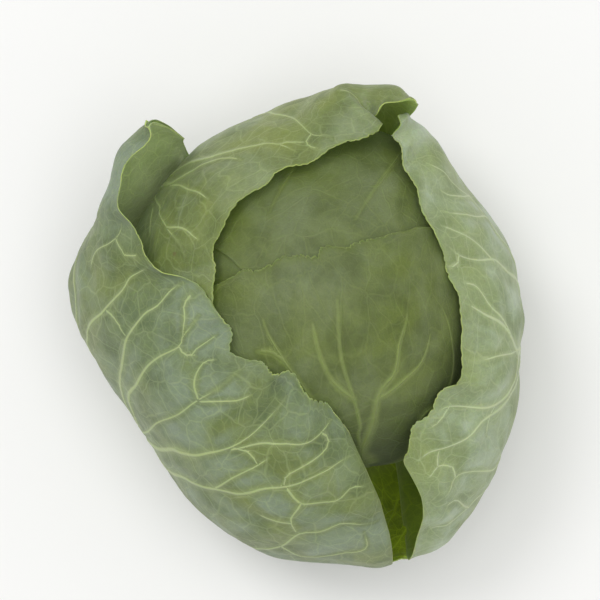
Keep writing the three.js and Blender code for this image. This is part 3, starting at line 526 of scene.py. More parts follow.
def vein_distance(chains, form, points, corners):
    """For each face centre's nearest vein stretch: every corner's distance across it and beyond
    its ends, in half widths of the vein. A stretch runs on a little where the next one follows,
    and towards an open end of the vein the distance beyond grows."""
    flats = [form.flat(u, v) for u, v, _, _ in chains]
    parts = []
    for flat, fade, (_, _, half, _) in zip(flats, faded_ends(flats), chains):
        inner = np.full(len(flat) - 1, VEIN_RUN_ON)
        before, after = inner.copy(), inner.copy()
        before[0] = after[-1] = 0
        middles = (half[:-1] + half[1:]) / 2
        parts.append((flat[:-1], flat[1:], middles, before, after, fade[:-1], fade[1:]))
    starts, ends, halves, before, after, fade_in, fade_out = [np.concatenate(part) for part in zip(*parts)]
    ways = ends - starts
    lengths = np.linalg.norm(ways, axis=1)
    ways /= lengths[:, None]
    nearest = np.empty(len(points), int)
    for low in range(0, len(points), POINTS_AT_ONCE):
        some = slice(low, low + POINTS_AT_ONCE)
        gap = points[some, None] - starts[None]
        run = np.clip((gap * ways).sum(axis=2), 0, lengths)
        away = np.linalg.norm(gap - run[..., None] * ways, axis=2) / halves
        nearest[some] = np.argmin(away, axis=1)

    def own(values):
        return values[nearest][:, None]

    gap = corners - own(starts)
    way = own(ways)
    run = (gap * way).sum(axis=2)
    across = gap[..., 0] * way[..., 1] - gap[..., 1] * way[..., 0]
    past = np.maximum(-run - own(before), run - (own(lengths) + own(after)))
    beyond = np.maximum(past, 0) / own(halves)
    share = np.clip(run / own(lengths), 0, 1)
    beyond += own(fade_in) * (1 - share) + own(fade_out) * share
    return np.stack([across / own(halves), beyond], axis=-1)


def vein_object(name, chains, form):
    """The vein lines on the leaf's face, with their sizes, for the relief tree to read."""
    verts, edges, halves, heights = [], [], [], []
    for u, v, half, height in chains:
        first = len(verts)
        verts += (form.face(u, v)[0] * MM).tolist()
        edges += [(first + k, first + k + 1) for k in range(len(u) - 1)]
        halves += list(half * MM)
        heights += list(height * MM)
    mesh = bpy.data.meshes.new(name)
    mesh.from_pydata(verts, edges, [])
    store(mesh, "half", halves)
    store(mesh, "height", heights)
    return bpy.data.objects.new(name, mesh)


# ---------------------------------------------------------------- node helpers

class Nodes:
    """Adds nodes to a tree: inputs given as values are set, and those given as sockets linked."""

    def __init__(self, tree):
        self.tree = tree

    def add(self, kind, inputs=None, **settings):
        node = self.tree.nodes.new(kind)
        for name, value in settings.items():
            setattr(node, name, value)
        for key, value in (inputs or {}).items():
            self.feed(node.inputs[key], value)
        return node

    def feed(self, socket, value):
        if isinstance(value, bpy.types.NodeSocket):
            self.tree.links.new(value, socket)
        else:
            socket.default_value = value

    def math(self, operation, *values):
        node = self.add("ShaderNodeMath", operation=operation)
        for socket, value in zip(node.inputs, values):
            self.feed(socket, value)
        return node.outputs[0]

    def vector(self, operation, *values, scale=None):
        node = self.add("ShaderNodeVectorMath", operation=operation)
        for socket, value in zip(node.inputs, values):
            self.feed(socket, value)
        if scale is not None:
            self.feed(node.inputs["Scale"], scale)
        return node.outputs["Value" if operation in ("LENGTH", "DOT_PRODUCT") else "Vector"]

    def ramp(self, value, low, high, to_low=0.0, to_high=1.0, smooth=True):
        kind = "SMOOTHSTEP" if smooth else "LINEAR"
        inputs = {"Value": value, "From Min": low, "From Max": high, "To Min": to_low, "To Max": to_high}
        return self.add("ShaderNodeMapRange", inputs, interpolation_type=kind).outputs["Result"]

    def mix(self, share, first, second, blend="MIX"):
        node = self.add("ShaderNodeMix", data_type="RGBA", blend_type=blend)
        for socket, value in ((node.inputs[0], share), (node.inputs[6], first), (node.inputs[7], second)):
            self.feed(socket, value)
        return node.outputs[2]


def node_group(kind, name, inputs, outputs):
    """An empty group with its named sockets: (name, socket type, default)."""
    tree = bpy.data.node_groups.new(name, kind)
    for label, socket, default in inputs:
        made = tree.interface.new_socket(label, in_out="INPUT", socket_type=socket)
        if default is not None:
            made.default_value = default
    for label, socket in outputs:
        tree.interface.new_socket(label, in_out="OUTPUT", socket_type=socket)
    nodes = Nodes(tree)
    return nodes, nodes.add("NodeGroupInput").outputs, nodes.add("NodeGroupOutput").inputs


# ---------------------------------------------------------------- the relief of a leaf

def relief_tree():
    """Raises a leaf's veins along its stored outward direction and swells the blade between them."""
    sockets = [
        ("Geometry", "NodeSocketGeometry", None), ("Veins", "NodeSocketObject", None),
        ("Least Ridge", "NodeSocketFloat", 0.0014), ("Swell", "NodeSocketFloat", 0.0),
        ("Swell Reach", "NodeSocketFloat", 0.009), ("Unevenness", "NodeSocketFloat", 0.0),
        ("Material", "NodeSocketMaterial", None),
    ]
    made = [("Geometry", "NodeSocketGeometry")]
    nodes, given, result = node_group("GeometryNodeTree", "leaf relief", sockets, made)
    add, maths = nodes.add, nodes.math
    lines = add("GeometryNodeObjectInfo", {"Object": given["Veins"]}).outputs["Geometry"]
    nearest = add("GeometryNodeProximity", {0: lines}, target_element="EDGES").outputs["Distance"]
    index = add("GeometryNodeSampleNearest", {"Geometry": lines}, domain="POINT").outputs["Index"]

    def stored(name, kind="FLOAT"):
        return add("GeometryNodeInputNamedAttribute", {"Name": name}, data_type=kind).outputs["Attribute"]

    def of_vein(name):
        inputs = {"Geometry": lines, "Value": stored(name), "Index": index}
        return add("GeometryNodeSampleIndex", inputs, data_type="FLOAT", domain="POINT").outputs["Value"]

    def bell(distance, reach, fall):
        share = maths("POWER", maths("DIVIDE", distance, reach), 2.0)
        return maths("EXPONENT", maths("MULTIPLY", share, -fall))

    ridge = bell(nearest, maths("MAXIMUM", of_vein("half"), given["Least Ridge"]), RIDGE_FALL)
    rise = maths("MULTIPLY", maths("MULTIPLY", ridge, of_vein("height")), stored("side"))
    open_blade = maths("SUBTRACT", 1.0, bell(nearest, given["Swell Reach"], 1.0))
    swell = maths("MULTIPLY", open_blade, given["Swell"])
    noise = add("ShaderNodeTexNoise", UNEVENNESS_NOISE).outputs[0]
    uneven = maths("MULTIPLY", maths("SUBTRACT", noise, 0.5), given["Unevenness"])
    loose = maths("MULTIPLY", maths("ADD", swell, uneven), stored("loose"))
    offset = nodes.vector("SCALE", stored("out", "FLOAT_VECTOR"), scale=maths("ADD", rise, loose))
    moved = add("GeometryNodeSetPosition", {"Geometry": given["Geometry"], "Offset": offset}).outputs[0]
    real = add("GeometryNodeRealizeInstances", {0: moved}).outputs[0]
    coated = add("GeometryNodeSetMaterial", {"Geometry": real, "Material": given["Material"]}).outputs[0]
    nodes.feed(result["Geometry"], coated)
    return nodes.tree


def applied(obj, tree, inputs):
    """The mesh that a tree makes of an object, as a plain mesh."""
    modifier = obj.modifiers.new(tree.name, "NODES")
    modifier.node_group = tree
    for item in tree.interface.items_tree:
        if item.in_out == "INPUT" and item.name in inputs:
            modifier[item.identifier] = inputs[item.name]
    bpy.context.view_layer.update()
    evaluated = obj.evaluated_get(bpy.context.evaluated_depsgraph_get())
    mesh = bpy.data.meshes.new_from_object(evaluated)
    obj.modifiers.clear()
    return mesh


# ---------------------------------------------------------------- leaf meshes

def leaf_mesh(name, form, chains, thickness):
    """A leaf's two faces and its rim as one closed mesh, with what its material reads."""
    across = int(form.widths.max() / CELL)
    along = int(form.height / CELL)
    ways = (np.linspace(0, 1, across + 1), np.linspace(0, 1, along + 1))
    u, v = [grid.ravel() for grid in np.meshgrid(*ways, indexing="ij")]
    outer, out = form.face(u, v)
    edge = np.minimum((1 - v) * form.height, np.minimum(u, 1 - u) * form.width_at(v))
    sheet = EDGE_THICKNESS + (thickness(v) - EDGE_THICKNESS) * smoothstep(edge, 0, RIM_FADE)
    inner = outer - out * sheet[:, None]
    count = len(u)
    step = along + 1
    i, j = [grid.ravel() for grid in np.meshgrid(np.arange(across), np.arange(along), indexing="ij")]
    low = i * step + j
    front = np.stack([low, low + step, low + step + 1, low + 1], axis=1)
    rim = np.concatenate([
        np.arange(across) * step, across * step + np.arange(along),
        np.arange(across, 0, -1) * step + along, np.arange(along, 0, -1),
    ])
    onward = np.roll(rim, -1)
    band = np.stack([onward, rim, rim + count, onward + count], axis=1)
    faces = np.concatenate([front, front[:, ::-1] + count, band])
    mesh = bpy.data.meshes.new(name)
    mesh.from_pydata((np.concatenate([outer, inner]) * MM).tolist(), [], faces.tolist())
    plan = np.tile(form.flat(u, v), (2, 1))
    corners = plan[faces]
    add_uv(mesh, "plan", corners.reshape(-1, 2) * MM)
    add_uv(mesh, "vein", vein_distance(chains, form, corners.mean(axis=1), corners).reshape(-1, 2))
    store(mesh, "edge", np.tile(edge, 2))
    store(mesh, "rise", np.tile(v, 2))
    store(mesh, "inside", np.repeat([0.0, 1.0], count))
    store(mesh, "side", np.repeat([1.0, INNER_RELIEF], count))
    store(mesh, "loose", np.tile(smoothstep(v, *LOOSE_RISE), 2))
    outwards = mesh.attributes.new("out", "FLOAT_VECTOR", "POINT")
    outwards.data.foreach_set("vector", np.tile(out, (2, 1)).ravel())
    smooth(mesh)
    return mesh


def smooth(mesh):
    mesh.polygons.foreach_set("use_smooth", np.ones(len(mesh.polygons), bool))


def add_uv(mesh, name, values):
    mesh.uv_layers.new(name=name).data.foreach_set("uv", values.astype(np.float32).ravel())


def store(mesh, name, values):
    mesh.attributes.new(name, "FLOAT", "POINT").data.foreach_set("value", np.asarray(values, np.float32))


def wrapper_thickness(v):
    return BLADE_THICKNESS + (ROOT_THICKNESS - BLADE_THICKNESS) * (1 - v) ** 3


def leaf_piece(name, leaf, veins, heights, thickness, relief, look):
    """A finished leaf: its sheet with the relief of its veins."""
    form = LeafForm(leaf)
    routes = traced_routes if "midrib" in veins else ruled_routes
    chains = vein_chains(form, routes(form, veins), *heights)
    lines = vein_object(name + "_vein_lines", chains, form)
    sheet = bpy.data.objects.new(name + "_sheet", leaf_mesh(name, form, chains, thickness))
    for obj in (lines, sheet):
        bpy.context.scene.collection.objects.link(obj)
    mesh = applied(sheet, relief, {"Veins": lines, **look})
    for obj in (lines, sheet):
        bpy.data.objects.remove(obj)
    return mesh


def finished(name, mesh, node):
    obj = bpy.data.objects.new(name, mesh)
    mesh.name = name
    bpy.context.scene.collection.objects.link(obj)
    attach(obj, "root")
    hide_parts(node)
    return obj


# ---------------------------------------------------------------- materials

def srgb(red, green, blue):
    """A screen colour (0 to 255) as a linear one."""
    def linear(value):
        value /= 255
        return value / 12.92 if value <= 0.04045 else ((value + 0.055) / 1.055) ** 2.4
    return (linear(red), linear(green), linear(blue), 1.0)


# Each palette's bloom colour is the wax bloom and a painted highlight in one.
WRAPPER_GREENS = {
    "green": srgb(110, 126, 84), "olive": srgb(115, 128, 67), "deep_and_shade": srgb(76, 91, 57),
    "bloom_and_highlight": srgb(132, 147, 124), "vein": srgb(178, 193, 136), "rim": srgb(168, 182, 104),
    "inner": srgb(142, 157, 108), "inner_deep": srgb(112, 130, 74), "inner_vein": srgb(172, 188, 120),
    "root": srgb(208, 216, 172), "spot": srgb(168, 176, 66), "speck": srgb(110, 98, 62),
}
TOP_GREENS = {
    **WRAPPER_GREENS,
    "green": srgb(118, 132, 80), "olive": srgb(124, 136, 68), "deep_and_shade": srgb(82, 96, 54),
    "bloom_and_highlight": srgb(138, 151, 118),
    "inner": srgb(132, 154, 66), "inner_deep": srgb(100, 124, 38), "inner_vein": srgb(162, 182, 92),
}
PALE_GREENS = {
    **WRAPPER_GREENS,
    "green": srgb(142, 157, 114), "olive": srgb(138, 152, 92), "deep_and_shade": srgb(110, 126, 84),
    "bloom_and_highlight": srgb(173, 187, 162), "vein": srgb(194, 206, 162),
    "inner": srgb(122, 144, 48), "inner_deep": srgb(92, 114, 26), "inner_vein": srgb(146, 170, 44),
}
BASE_GREENS = {
    **WRAPPER_GREENS,
    "inner": srgb(124, 146, 26), "inner_deep": srgb(82, 102, 12), "inner_vein": srgb(164, 190, 40),
}
HEAD_GREENS = {
    **WRAPPER_GREENS,
    "green": srgb(103, 116, 68), "olive": srgb(100, 114, 48), "deep_and_shade": srgb(68, 80, 38),
    "bloom_and_highlight": srgb(122, 134, 98), "vein": srgb(152, 168, 98), "rim": srgb(134, 148, 84),
}


# Where each of a vein's marks is full and where it is gone, in half widths off its middle.
VEIN_MARKS = {"Core": (0.3, 1.5), "Glow": (0.5, 4.5), "Halo": (1.0, 9.0)}

# The net of small veins: each net's line width as a share of its cells, where a line is full and
# gone (shares of that width), how wide a panel's rim is, and how far the lines stray.
NET_WIDTHS = {"Coarse": 0.035, "Fine": 0.07}
NET_LINE = (0.2, 3)
PANEL_RIM = 0.35
NET_STRAY = 9 * MM
NET_STRAY_NOISE = {"Scale": 70.0, "Detail": 2.0}
NET_WIDTH_NOISE = {"Scale": 60.0}

# Each cloud's scale, detail and distortion, and between which levels of its noise its mask grows.
# Each layer of grain has a scale and a detail, and how far it darkens and lightens.
CLOUDS = {
    "Drift": (15.0, 3.0, 0.0, (0.38, 0.64)),
    "Mottle": (70.0, 5.0, 0.4, (0.35, 0.7)),
    # The bloom cloud is the wax bloom and a painted highlight together: its pale blue-grey patches also
    # stand in for glare.
    "BloomAndHighlight": (26.0, 5.0, 0.8, (0.4, 0.68)),
}
GRAINS = [(330.0, 3.0, 0.05), (1300.0, 2.0, 0.06)]
NOISE_SPAN = (0.3, 0.7)

# Each kind of blemish: the scale of its cells, the share of cells without one, and its size.
BLEMISHES = {"Pale": (30.0, 0.9, 0.1), "Brown": (75.0, 0.95, 0.08)}
RAGGEDNESS = 9

# How much each mask shows in a leaf's colour, and between which heights (shares of the leaf's)
# or distances from its margin (millimetres) a colour changes.
MOTTLE_SHARE = 0.55
INNER_MOTTLE_SHARE = 0.5
BLOOM_AND_HIGHLIGHT_OFF_VEINS = 0.75
# Painted shade: between these heights the head's green turns darker below its shoulder, where the wrapper
# leaves shade it.
PAINTED_SHADE_RISE = (0.7, 0.82)
FINE_NET_SHARE = 0.5
INNER_NET_GAIN = 2
INNER_VEIN_GAIN = 0.75
PALE_SPOT_SHARE = 0.6
BROWN_SPECK_SHARE = 0.7
MARGIN_BAND = (0.9, 3.5)
MARGIN_SHARE = 0.35
RIM_BAND = (0.1, 0.7)
RIM_SHARES = (0.1, 0.7)
RIM_PATCHES = (0.1, 0.8)
ROOT_RISE = (0.04, 0.34)
ROOT_SHARE = 0.9
# Painted light: between these heights the inner face's emission grows from its least share to full.
PAINTED_GLOW_RISE = (0.3, 0.85)
PAINTED_GLOW_LEAST = 0.3

# A leaf's gloss and the light inside its blade, and its fine relief: each mask's height.
LEAF_ROUGHNESS = (0.5, 0.62)
BLOOM_ROUGHNESS = 0.08
LEAF_FINISH = {
    "Specular IOR Level": 0.35, "Sheen Weight": 0.08, "Sheen Roughness": 0.5, "Subsurface Weight": 0.5,
    "Subsurface Scale": 1.0, "Subsurface Radius": (1.2 * MM, 1.9 * MM, 0.35 * MM),
}
FINE_RELIEF = [("net", "Coarse", 0.35), ("net", "Fine", 0.15), ("veins", "Core", 1.2),
               ("wax", "Grain", 1.5), ("net", "Panel", 0.4)]
LEAF_BUMP = {"Strength": 0.5, "Distance": 0.5 * MM}


def vein_marks():
    """Masks of a leaf's main veins: their middle, the halo round it, and the blade close to them."""
    outputs = [(label, "NodeSocketFloat") for label in VEIN_MARKS]
    nodes, _, result = node_group("ShaderNodeTree", "vein marks", [], outputs)
    away = nodes.vector("LENGTH", nodes.add("ShaderNodeUVMap", uv_map="vein").outputs[0])
    for label, (full, gone) in VEIN_MARKS.items():
        nodes.feed(result[label], nodes.ramp(away, full, gone, 1, 0))
    return nodes.tree


def leaf_net():
    """Masks of the net of small veins between the main ones, over a leaf's flat plan."""
    inputs = [("Coarse Size", "NodeSocketFloat", 12 * MM), ("Fine Size", "NodeSocketFloat", 4 * MM)]
    outputs = [(label, "NodeSocketFloat") for label in ("Coarse", "Fine", "Panel")]
    nodes, given, result = node_group("ShaderNodeTree", "leaf net", inputs, outputs)
    plan = nodes.add("ShaderNodeUVMap", uv_map="plan").outputs[0]
    stray = nodes.add("ShaderNodeTexNoise", {"Vector": plan, **NET_STRAY_NOISE})
    stray = nodes.vector("SUBTRACT", stray.outputs["Color"], (0.5, 0.5, 0.5))
    place = nodes.vector("ADD", plan, nodes.vector("SCALE", stray, scale=NET_STRAY))
    thick = nodes.add("ShaderNodeTexNoise", {"Vector": plan, **NET_WIDTH_NOISE}).outputs[0]
    for label, width in NET_WIDTHS.items():
        size = given[label + " Size"]
        sizes = nodes.add("ShaderNodeCombineXYZ", {0: size, 1: size, 2: size}).outputs[0]
        inputs = {"Vector": nodes.vector("DIVIDE", place, sizes), "Scale": 1.0}
        settings = {"feature": "DISTANCE_TO_EDGE", "voronoi_dimensions": "2D"}
        gap = nodes.add("ShaderNodeTexVoronoi", inputs, **settings).outputs["Distance"]
        full, gone = [nodes.math("MULTIPLY", thick, width * share) for share in NET_LINE]
        nodes.feed(result[label], nodes.ramp(gap, full, gone, 1, 0))
        if label == "Coarse":
            nodes.feed(result["Panel"], nodes.ramp(gap, 0.0, PANEL_RIM))
    return nodes.tree


def wax_clouds():
    """Masks in the round: drifts of colour, mottling, wax bloom with painted highlight, and a fine grain
    that is about 1.
    """
    inputs = [(label + " Scale", "NodeSocketFloat", cloud[0]) for label, cloud in CLOUDS.items()]
    outputs = [(label, "NodeSocketFloat") for label in (*CLOUDS, "Grain")]
    nodes, given, result = node_group("ShaderNodeTree", "wax clouds", inputs, outputs)
    where = nodes.add("ShaderNodeTexCoord").outputs["Object"]

    def noise(scale, detail, distortion=0.0):
        inputs = {"Vector": where, "Scale": scale, "Detail": detail, "Distortion": distortion}
        return nodes.add("ShaderNodeTexNoise", inputs).outputs[0]

    for label, (_, detail, distortion, levels) in CLOUDS.items():
        cloud = noise(given[label + " Scale"], detail, distortion)
        nodes.feed(result[label], nodes.ramp(cloud, *levels))
    coarse, fine = [
        nodes.ramp(noise(scale, detail), *NOISE_SPAN, 1 - share, 1 + share, smooth=False)
        for scale, detail, share in GRAINS
    ]
    nodes.feed(result["Grain"], nodes.math("MULTIPLY", coarse, fine))
    return nodes.tree


def blemishes():
    """Masks of a leaf's few pale spots and of its small brown specks."""
    outputs = [(label, "NodeSocketFloat") for label in BLEMISHES]
    nodes, _, result = node_group("ShaderNodeTree", "blemishes", [], outputs)
    where = nodes.add("ShaderNodeTexCoord").outputs["Object"]
    for label, (scale, left_out, size) in BLEMISHES.items():
        inputs = {"Vector": where, "Scale": scale, "Randomness": 1.0}
        spots = nodes.add("ShaderNodeTexVoronoi", inputs).outputs
        lot = nodes.add("ShaderNodeSeparateColor", {0: spots["Color"]}).outputs[0]
        ragged = nodes.add("ShaderNodeTexNoise", {"Vector": where, "Scale": scale * RAGGEDNESS}).outputs[0]
        away = nodes.math("ADD", spots["Distance"], nodes.math("MULTIPLY", ragged, size))
        spot = nodes.ramp(away, size, size * 2, 1, 0)
        nodes.feed(result[label], nodes.math("MULTIPLY", spot, nodes.math("GREATER_THAN", lot, left_out)))
    return nodes.tree


def leaf_material(name, groups, colours, net=0.15, bloom_and_highlight=0.8, veins=(0.75, 0.22), painted_glow_strength=0.35, low_painted_shade=0.0):
    """A leaf's blade: its greens under a wax bloom, partly a painted highlight, its veins (veins has
    the shares of their middle and of the halo round it), its pale root, rim and inner face. glow is
    the strength of the inner face's emission, painted light in place of the light that comes through
    the blade, and dusk how far its green is darkened below its shoulder, as painted shade."""
    material = bpy.data.materials.new(name)
    material.use_nodes = True
    nodes = Nodes(material.node_tree)
    shader = material.node_tree.nodes["Principled BSDF"]
    masks = {key: nodes.add("ShaderNodeGroup", node_tree=group).outputs for key, group in groups.items()}
    marks, lines, clouds, spots = [masks[key] for key in ("veins", "net", "wax", "spots")]
    rise, inside, edge = [
        nodes.add("ShaderNodeAttribute", attribute_name=stored).outputs["Fac"]
        for stored in ("rise", "inside", "edge")
    ]

    def times(first, second):
        return nodes.math("MULTIPLY", first, second)

    colour = nodes.mix(clouds["Drift"], colours["green"], colours["olive"])
    colour = nodes.mix(times(clouds["Mottle"], MOTTLE_SHARE), colour, colours["deep_and_shade"])
    off_veins = nodes.math("SUBTRACT", 1.0, times(marks["Halo"], BLOOM_AND_HIGHLIGHT_OFF_VEINS))
    # Wax bloom, partly painted highlight: pale blue-grey patches away from the veins.
    colour = nodes.mix(times(off_veins, times(clouds["BloomAndHighlight"], bloom_and_highlight)), colour, colours["bloom_and_highlight"])
    # Painted shade: below the shoulder the colour turns darker, standing in for the shade round the head's
    # lower part.
    colour = nodes.mix(nodes.ramp(rise, *PAINTED_SHADE_RISE, low_painted_shade, 0), colour, colours["deep_and_shade"])
    inner_mottle = times(clouds["Mottle"], INNER_MOTTLE_SHARE)
    inner = nodes.mix(inner_mottle, colours["inner"], colours["inner_deep"])
    colour = nodes.mix(inside, colour, inner)
    grain = nodes.add("ShaderNodeCombineColor", {key: clouds["Grain"] for key in range(3)}).outputs[0]
    colour = nodes.mix(1.0, colour, grain, "MULTIPLY")
    thin = nodes.math("MAXIMUM", times(lines["Coarse"], net), times(lines["Fine"], net * FINE_NET_SHARE))
    thin = times(thin, nodes.ramp(inside, 0, 1, 1, INNER_NET_GAIN, smooth=False))
    vein = nodes.mix(inside, colours["vein"], colours["inner_vein"])
    colour = nodes.mix(thin, colour, vein)
    line = nodes.math("MAXIMUM", times(marks["Core"], veins[0]), times(marks["Glow"], veins[1]))
    line = times(line, nodes.ramp(inside, 0, 1, 1, INNER_VEIN_GAIN, smooth=False))
    colour = nodes.mix(line, colour, vein)
    colour = nodes.mix(times(spots["Pale"], PALE_SPOT_SHARE), colour, colours["spot"])
    colour = nodes.mix(times(spots["Brown"], BROWN_SPECK_SHARE), colour, colours["speck"])
    colour = nodes.mix(nodes.ramp(edge, *MARGIN_BAND, MARGIN_SHARE, 0), colour, colours["olive"])
    patchy = nodes.ramp(clouds["Mottle"], *RIM_PATCHES, *RIM_SHARES)
    colour = nodes.mix(times(nodes.ramp(edge, *RIM_BAND, 1, 0), patchy), colour, colours["rim"])
    colour = nodes.mix(nodes.ramp(rise, *ROOT_RISE, ROOT_SHARE, 0), colour, colours["root"])
    nodes.feed(shader.inputs["Base Color"], colour)
    # Painted light: the inner face glows with its own colour, more towards its margin, in place of the
    # light that comes through the blade.
    painted_glow_share = times(inside, nodes.ramp(rise, *PAINTED_GLOW_RISE, PAINTED_GLOW_LEAST, 1))
    nodes.feed(shader.inputs["Emission Color"], nodes.mix(painted_glow_share, (0, 0, 0, 1), colour))
    shader.inputs["Emission Strength"].default_value = painted_glow_strength
    rough = nodes.ramp(clouds["Mottle"], 0, 1, *LEAF_ROUGHNESS)
    rough = nodes.math("ADD", rough, times(clouds["BloomAndHighlight"], BLOOM_ROUGHNESS))
    nodes.feed(shader.inputs["Roughness"], rough)
    for socket, value in LEAF_FINISH.items():
        shader.inputs[socket].default_value = value
    heights = [times(masks[key][label], height) for key, label, height in FINE_RELIEF]
    height = heights[0]
    for more in heights[1:]:
        height = nodes.math("ADD", height, more)
    bump = nodes.add("ShaderNodeBump", {"Height": height, **LEAF_BUMP}).outputs[0]
    nodes.feed(shader.inputs["Normal"], bump)
    return material


# The stem's colours and noises, the ring of fibres and the dried patches in its cut face, how soon
# the face turns into skin, and its finish.
STEM_COLOURS = {
    "pith": srgb(226, 226, 190), "fibre": srgb(198, 196, 146), "ring": srgb(160, 148, 92),
    "dried": srgb(168, 140, 92), "skin": srgb(196, 206, 152), "streak": srgb(164, 180, 118),
}
STEM_NOISES = {
    "ring": {"Scale": 130.0, "Detail": 2.0}, "fibres": {"Scale": 900.0, "Detail": 3.0},
    "dried": {"Scale": 75.0, "Detail": 5.0}, "streaks": {"Scale": 180.0, "Detail": 4.0},
}
FIBRE_RING = 12.8 * MM
RING_WIDTH = (0.4 * MM, 1.6 * MM)
RING_STRAY = 3 * MM
RING_SHARE = 0.55
DRIED_LEVELS = (0.5, 0.72)
DRIED_SHARE = 0.5
CUT_DEPTH = (0.1 * MM, 1.2 * MM)
STEM_ROUGHNESS = 0.62
STEM_BUMP = {"Strength": 0.5, "Distance": 0.4 * MM}


def stem_material():
    """The stem: green-white skin, and a moist cut face with its ring of fibres."""
    material = bpy.data.materials.new("cut stem")
    material.use_nodes = True
    nodes = Nodes(material.node_tree)
    shader = material.node_tree.nodes["Principled BSDF"]
    colours = STEM_COLOURS
    where = nodes.add("ShaderNodeTexCoord").outputs["Object"]
    x, y, z = nodes.add("ShaderNodeSeparateXYZ", {0: where}).outputs
    flat = nodes.add("ShaderNodeCombineXYZ", {0: x, 1: y}).outputs[0]

    def noise(kind, vector=flat):
        return nodes.add("ShaderNodeTexNoise", {"Vector": vector, **STEM_NOISES[kind]}).outputs[0]

    stray = nodes.math("MULTIPLY", noise("ring"), RING_STRAY)
    radius = nodes.math("ADD", nodes.vector("LENGTH", flat), stray)
    from_ring = nodes.math("ABSOLUTE", nodes.math("SUBTRACT", radius, FIBRE_RING))
    ring = nodes.ramp(from_ring, *RING_WIDTH, 1, 0)
    fibres = noise("fibres")
    pith = nodes.mix(nodes.ramp(fibres, *NOISE_SPAN), colours["pith"], colours["fibre"])
    pith = nodes.mix(nodes.math("MULTIPLY", ring, RING_SHARE), pith, colours["ring"])
    dried = nodes.ramp(noise("dried"), *DRIED_LEVELS, 0, DRIED_SHARE)
    pith = nodes.mix(dried, pith, colours["dried"])
    streaks = nodes.ramp(noise("streaks", where), *NOISE_SPAN)
    skin = nodes.mix(streaks, colours["skin"], colours["streak"])
    colour = nodes.mix(nodes.ramp(z, *CUT_DEPTH), pith, skin)
    nodes.feed(shader.inputs["Base Color"], colour)
    shader.inputs["Roughness"].default_value = STEM_ROUGHNESS
    bump = nodes.add("ShaderNodeBump", {"Height": nodes.math("ADD", fibres, ring), **STEM_BUMP}).outputs[0]
    nodes.feed(shader.inputs["Normal"], bump)
    return material


# ---------------------------------------------------------------- the pieces

# The stem's outline as (radius, height) in millimetres, the heights of the extra rings at its
# rounded ends, its lumps and its scars, and how finely the stem and the head's core are turned.
STEM_KNOTS = [(15.4, 0), (16.6, 1.2), (16.8, 5), (16.2, 11), (15.8, 18.3), (14.6, STEM_TOP)]
STEM_FOOT_RINGS = [0.25, 0.7]
STEM_HEAD_RING = 18.9
STEM_RINGS = 24
STEM_SIDES = 120
STEM_LUMPS = 5
STEM_LUMP_HEIGHT = 0.45
SCAR_HEIGHT = 0.3
SCAR_COUNT = 3
SCAR_SLANT = 0.7
SCARRED_FROM = (1, 4)
CORE_SIDES = 180
CORE_RINGS = 90

# What the leaves' material reads on the head's core: far off any vein and any margin.
CORE_MARKS = {"vein": 9.0, "edge": 50.0, "rise": 0.5, "inside": 0.0}


def revolve(name, profile, sides, shape=lambda angle, radius, height: radius):
    """A closed turned mesh: profile is a list of (radius, height) from the bottom's middle up."""
    angles = np.arange(sides) * 2 * math.pi / sides
    verts = [(0, 0, profile[0][1])]
    for radius, height in profile[1:-1]:
        reach = shape(angles, radius, height)
        verts += list(zip(reach * np.cos(angles), reach * np.sin(angles), np.full(sides, height)))
    verts.append((0, 0, profile[-1][1]))
    rings = len(profile) - 2
    faces = [(0, 1 + (k + 1) % sides, 1 + k) for k in range(sides)]
    for ring in range(rings - 1):
        low = 1 + ring * sides
        high = low + sides
        faces += [(low + k, low + (k + 1) % sides, high + (k + 1) % sides, high + k) for k in range(sides)]
    top = 1 + (rings - 1) * sides
    faces += [(top + k, top + (k + 1) % sides, len(verts) - 1) for k in range(sides)]
    mesh = bpy.data.meshes.new(name)
    mesh.from_pydata(verts, [], faces)
    smooth(mesh)
    return mesh


def make_stem(material):
    """The stem with its lumps and the spiral scars of fallen leaves."""
    radii, levels = zip(*STEM_KNOTS)
    low, high = levels[1], levels[-2]
    between = np.linspace(low, high, STEM_RINGS)
    heights = [0, 0, *STEM_FOOT_RINGS, *between, STEM_HEAD_RING, STEM_TOP, STEM_TOP]
    reach = np.interp(heights, levels, radii)
    reach[0] = reach[-1] = 0

    def lumpy(angle, radius, height):
        turns = np.sin(SCAR_COUNT * angle - height * SCAR_SLANT)
        scars = SCAR_HEIGHT * turns * smoothstep(height, *SCARRED_FROM)
        lumps = STEM_LUMP_HEIGHT * (np.sin(STEM_LUMPS * angle) - 1)
        return radius * (1 + (lumps + scars) / STEM_RADIUS)

    mesh = revolve("stem_body", list(zip(reach, heights)), STEM_SIDES, lumpy)
    mesh.transform(Matrix.Scale(MM, 4))
    mesh.materials.append(material)
    return finished("stem_body", mesh, "stem")


def make_heart_core(material):
    """The head under its outer leaf."""
    turns = np.linspace(0, math.pi, CORE_RINGS)
    mesh = revolve("heart_core", list(zip(np.sin(turns), -np.cos(turns))), CORE_SIDES)
    ways = np.array([vertex.co for vertex in mesh.vertices]) + HEAD_CENTRE
    mesh.vertices.foreach_set("co", (onto_head(ways, -HEART_LEAF_STANDS_OUT) * MM).ravel())
    corners = np.array([mesh.vertices[loop.vertex_index].co[:2] for loop in mesh.loops])
    add_uv(mesh, "plan", corners)
    add_uv(mesh, "vein", np.full_like(corners, CORE_MARKS["vein"]))
    for name in ("edge", "rise", "inside"):
        store(mesh, name, np.full(len(mesh.vertices), CORE_MARKS[name]))
    mesh.materials.append(material)
    return finished("heart_core", mesh, "heart")


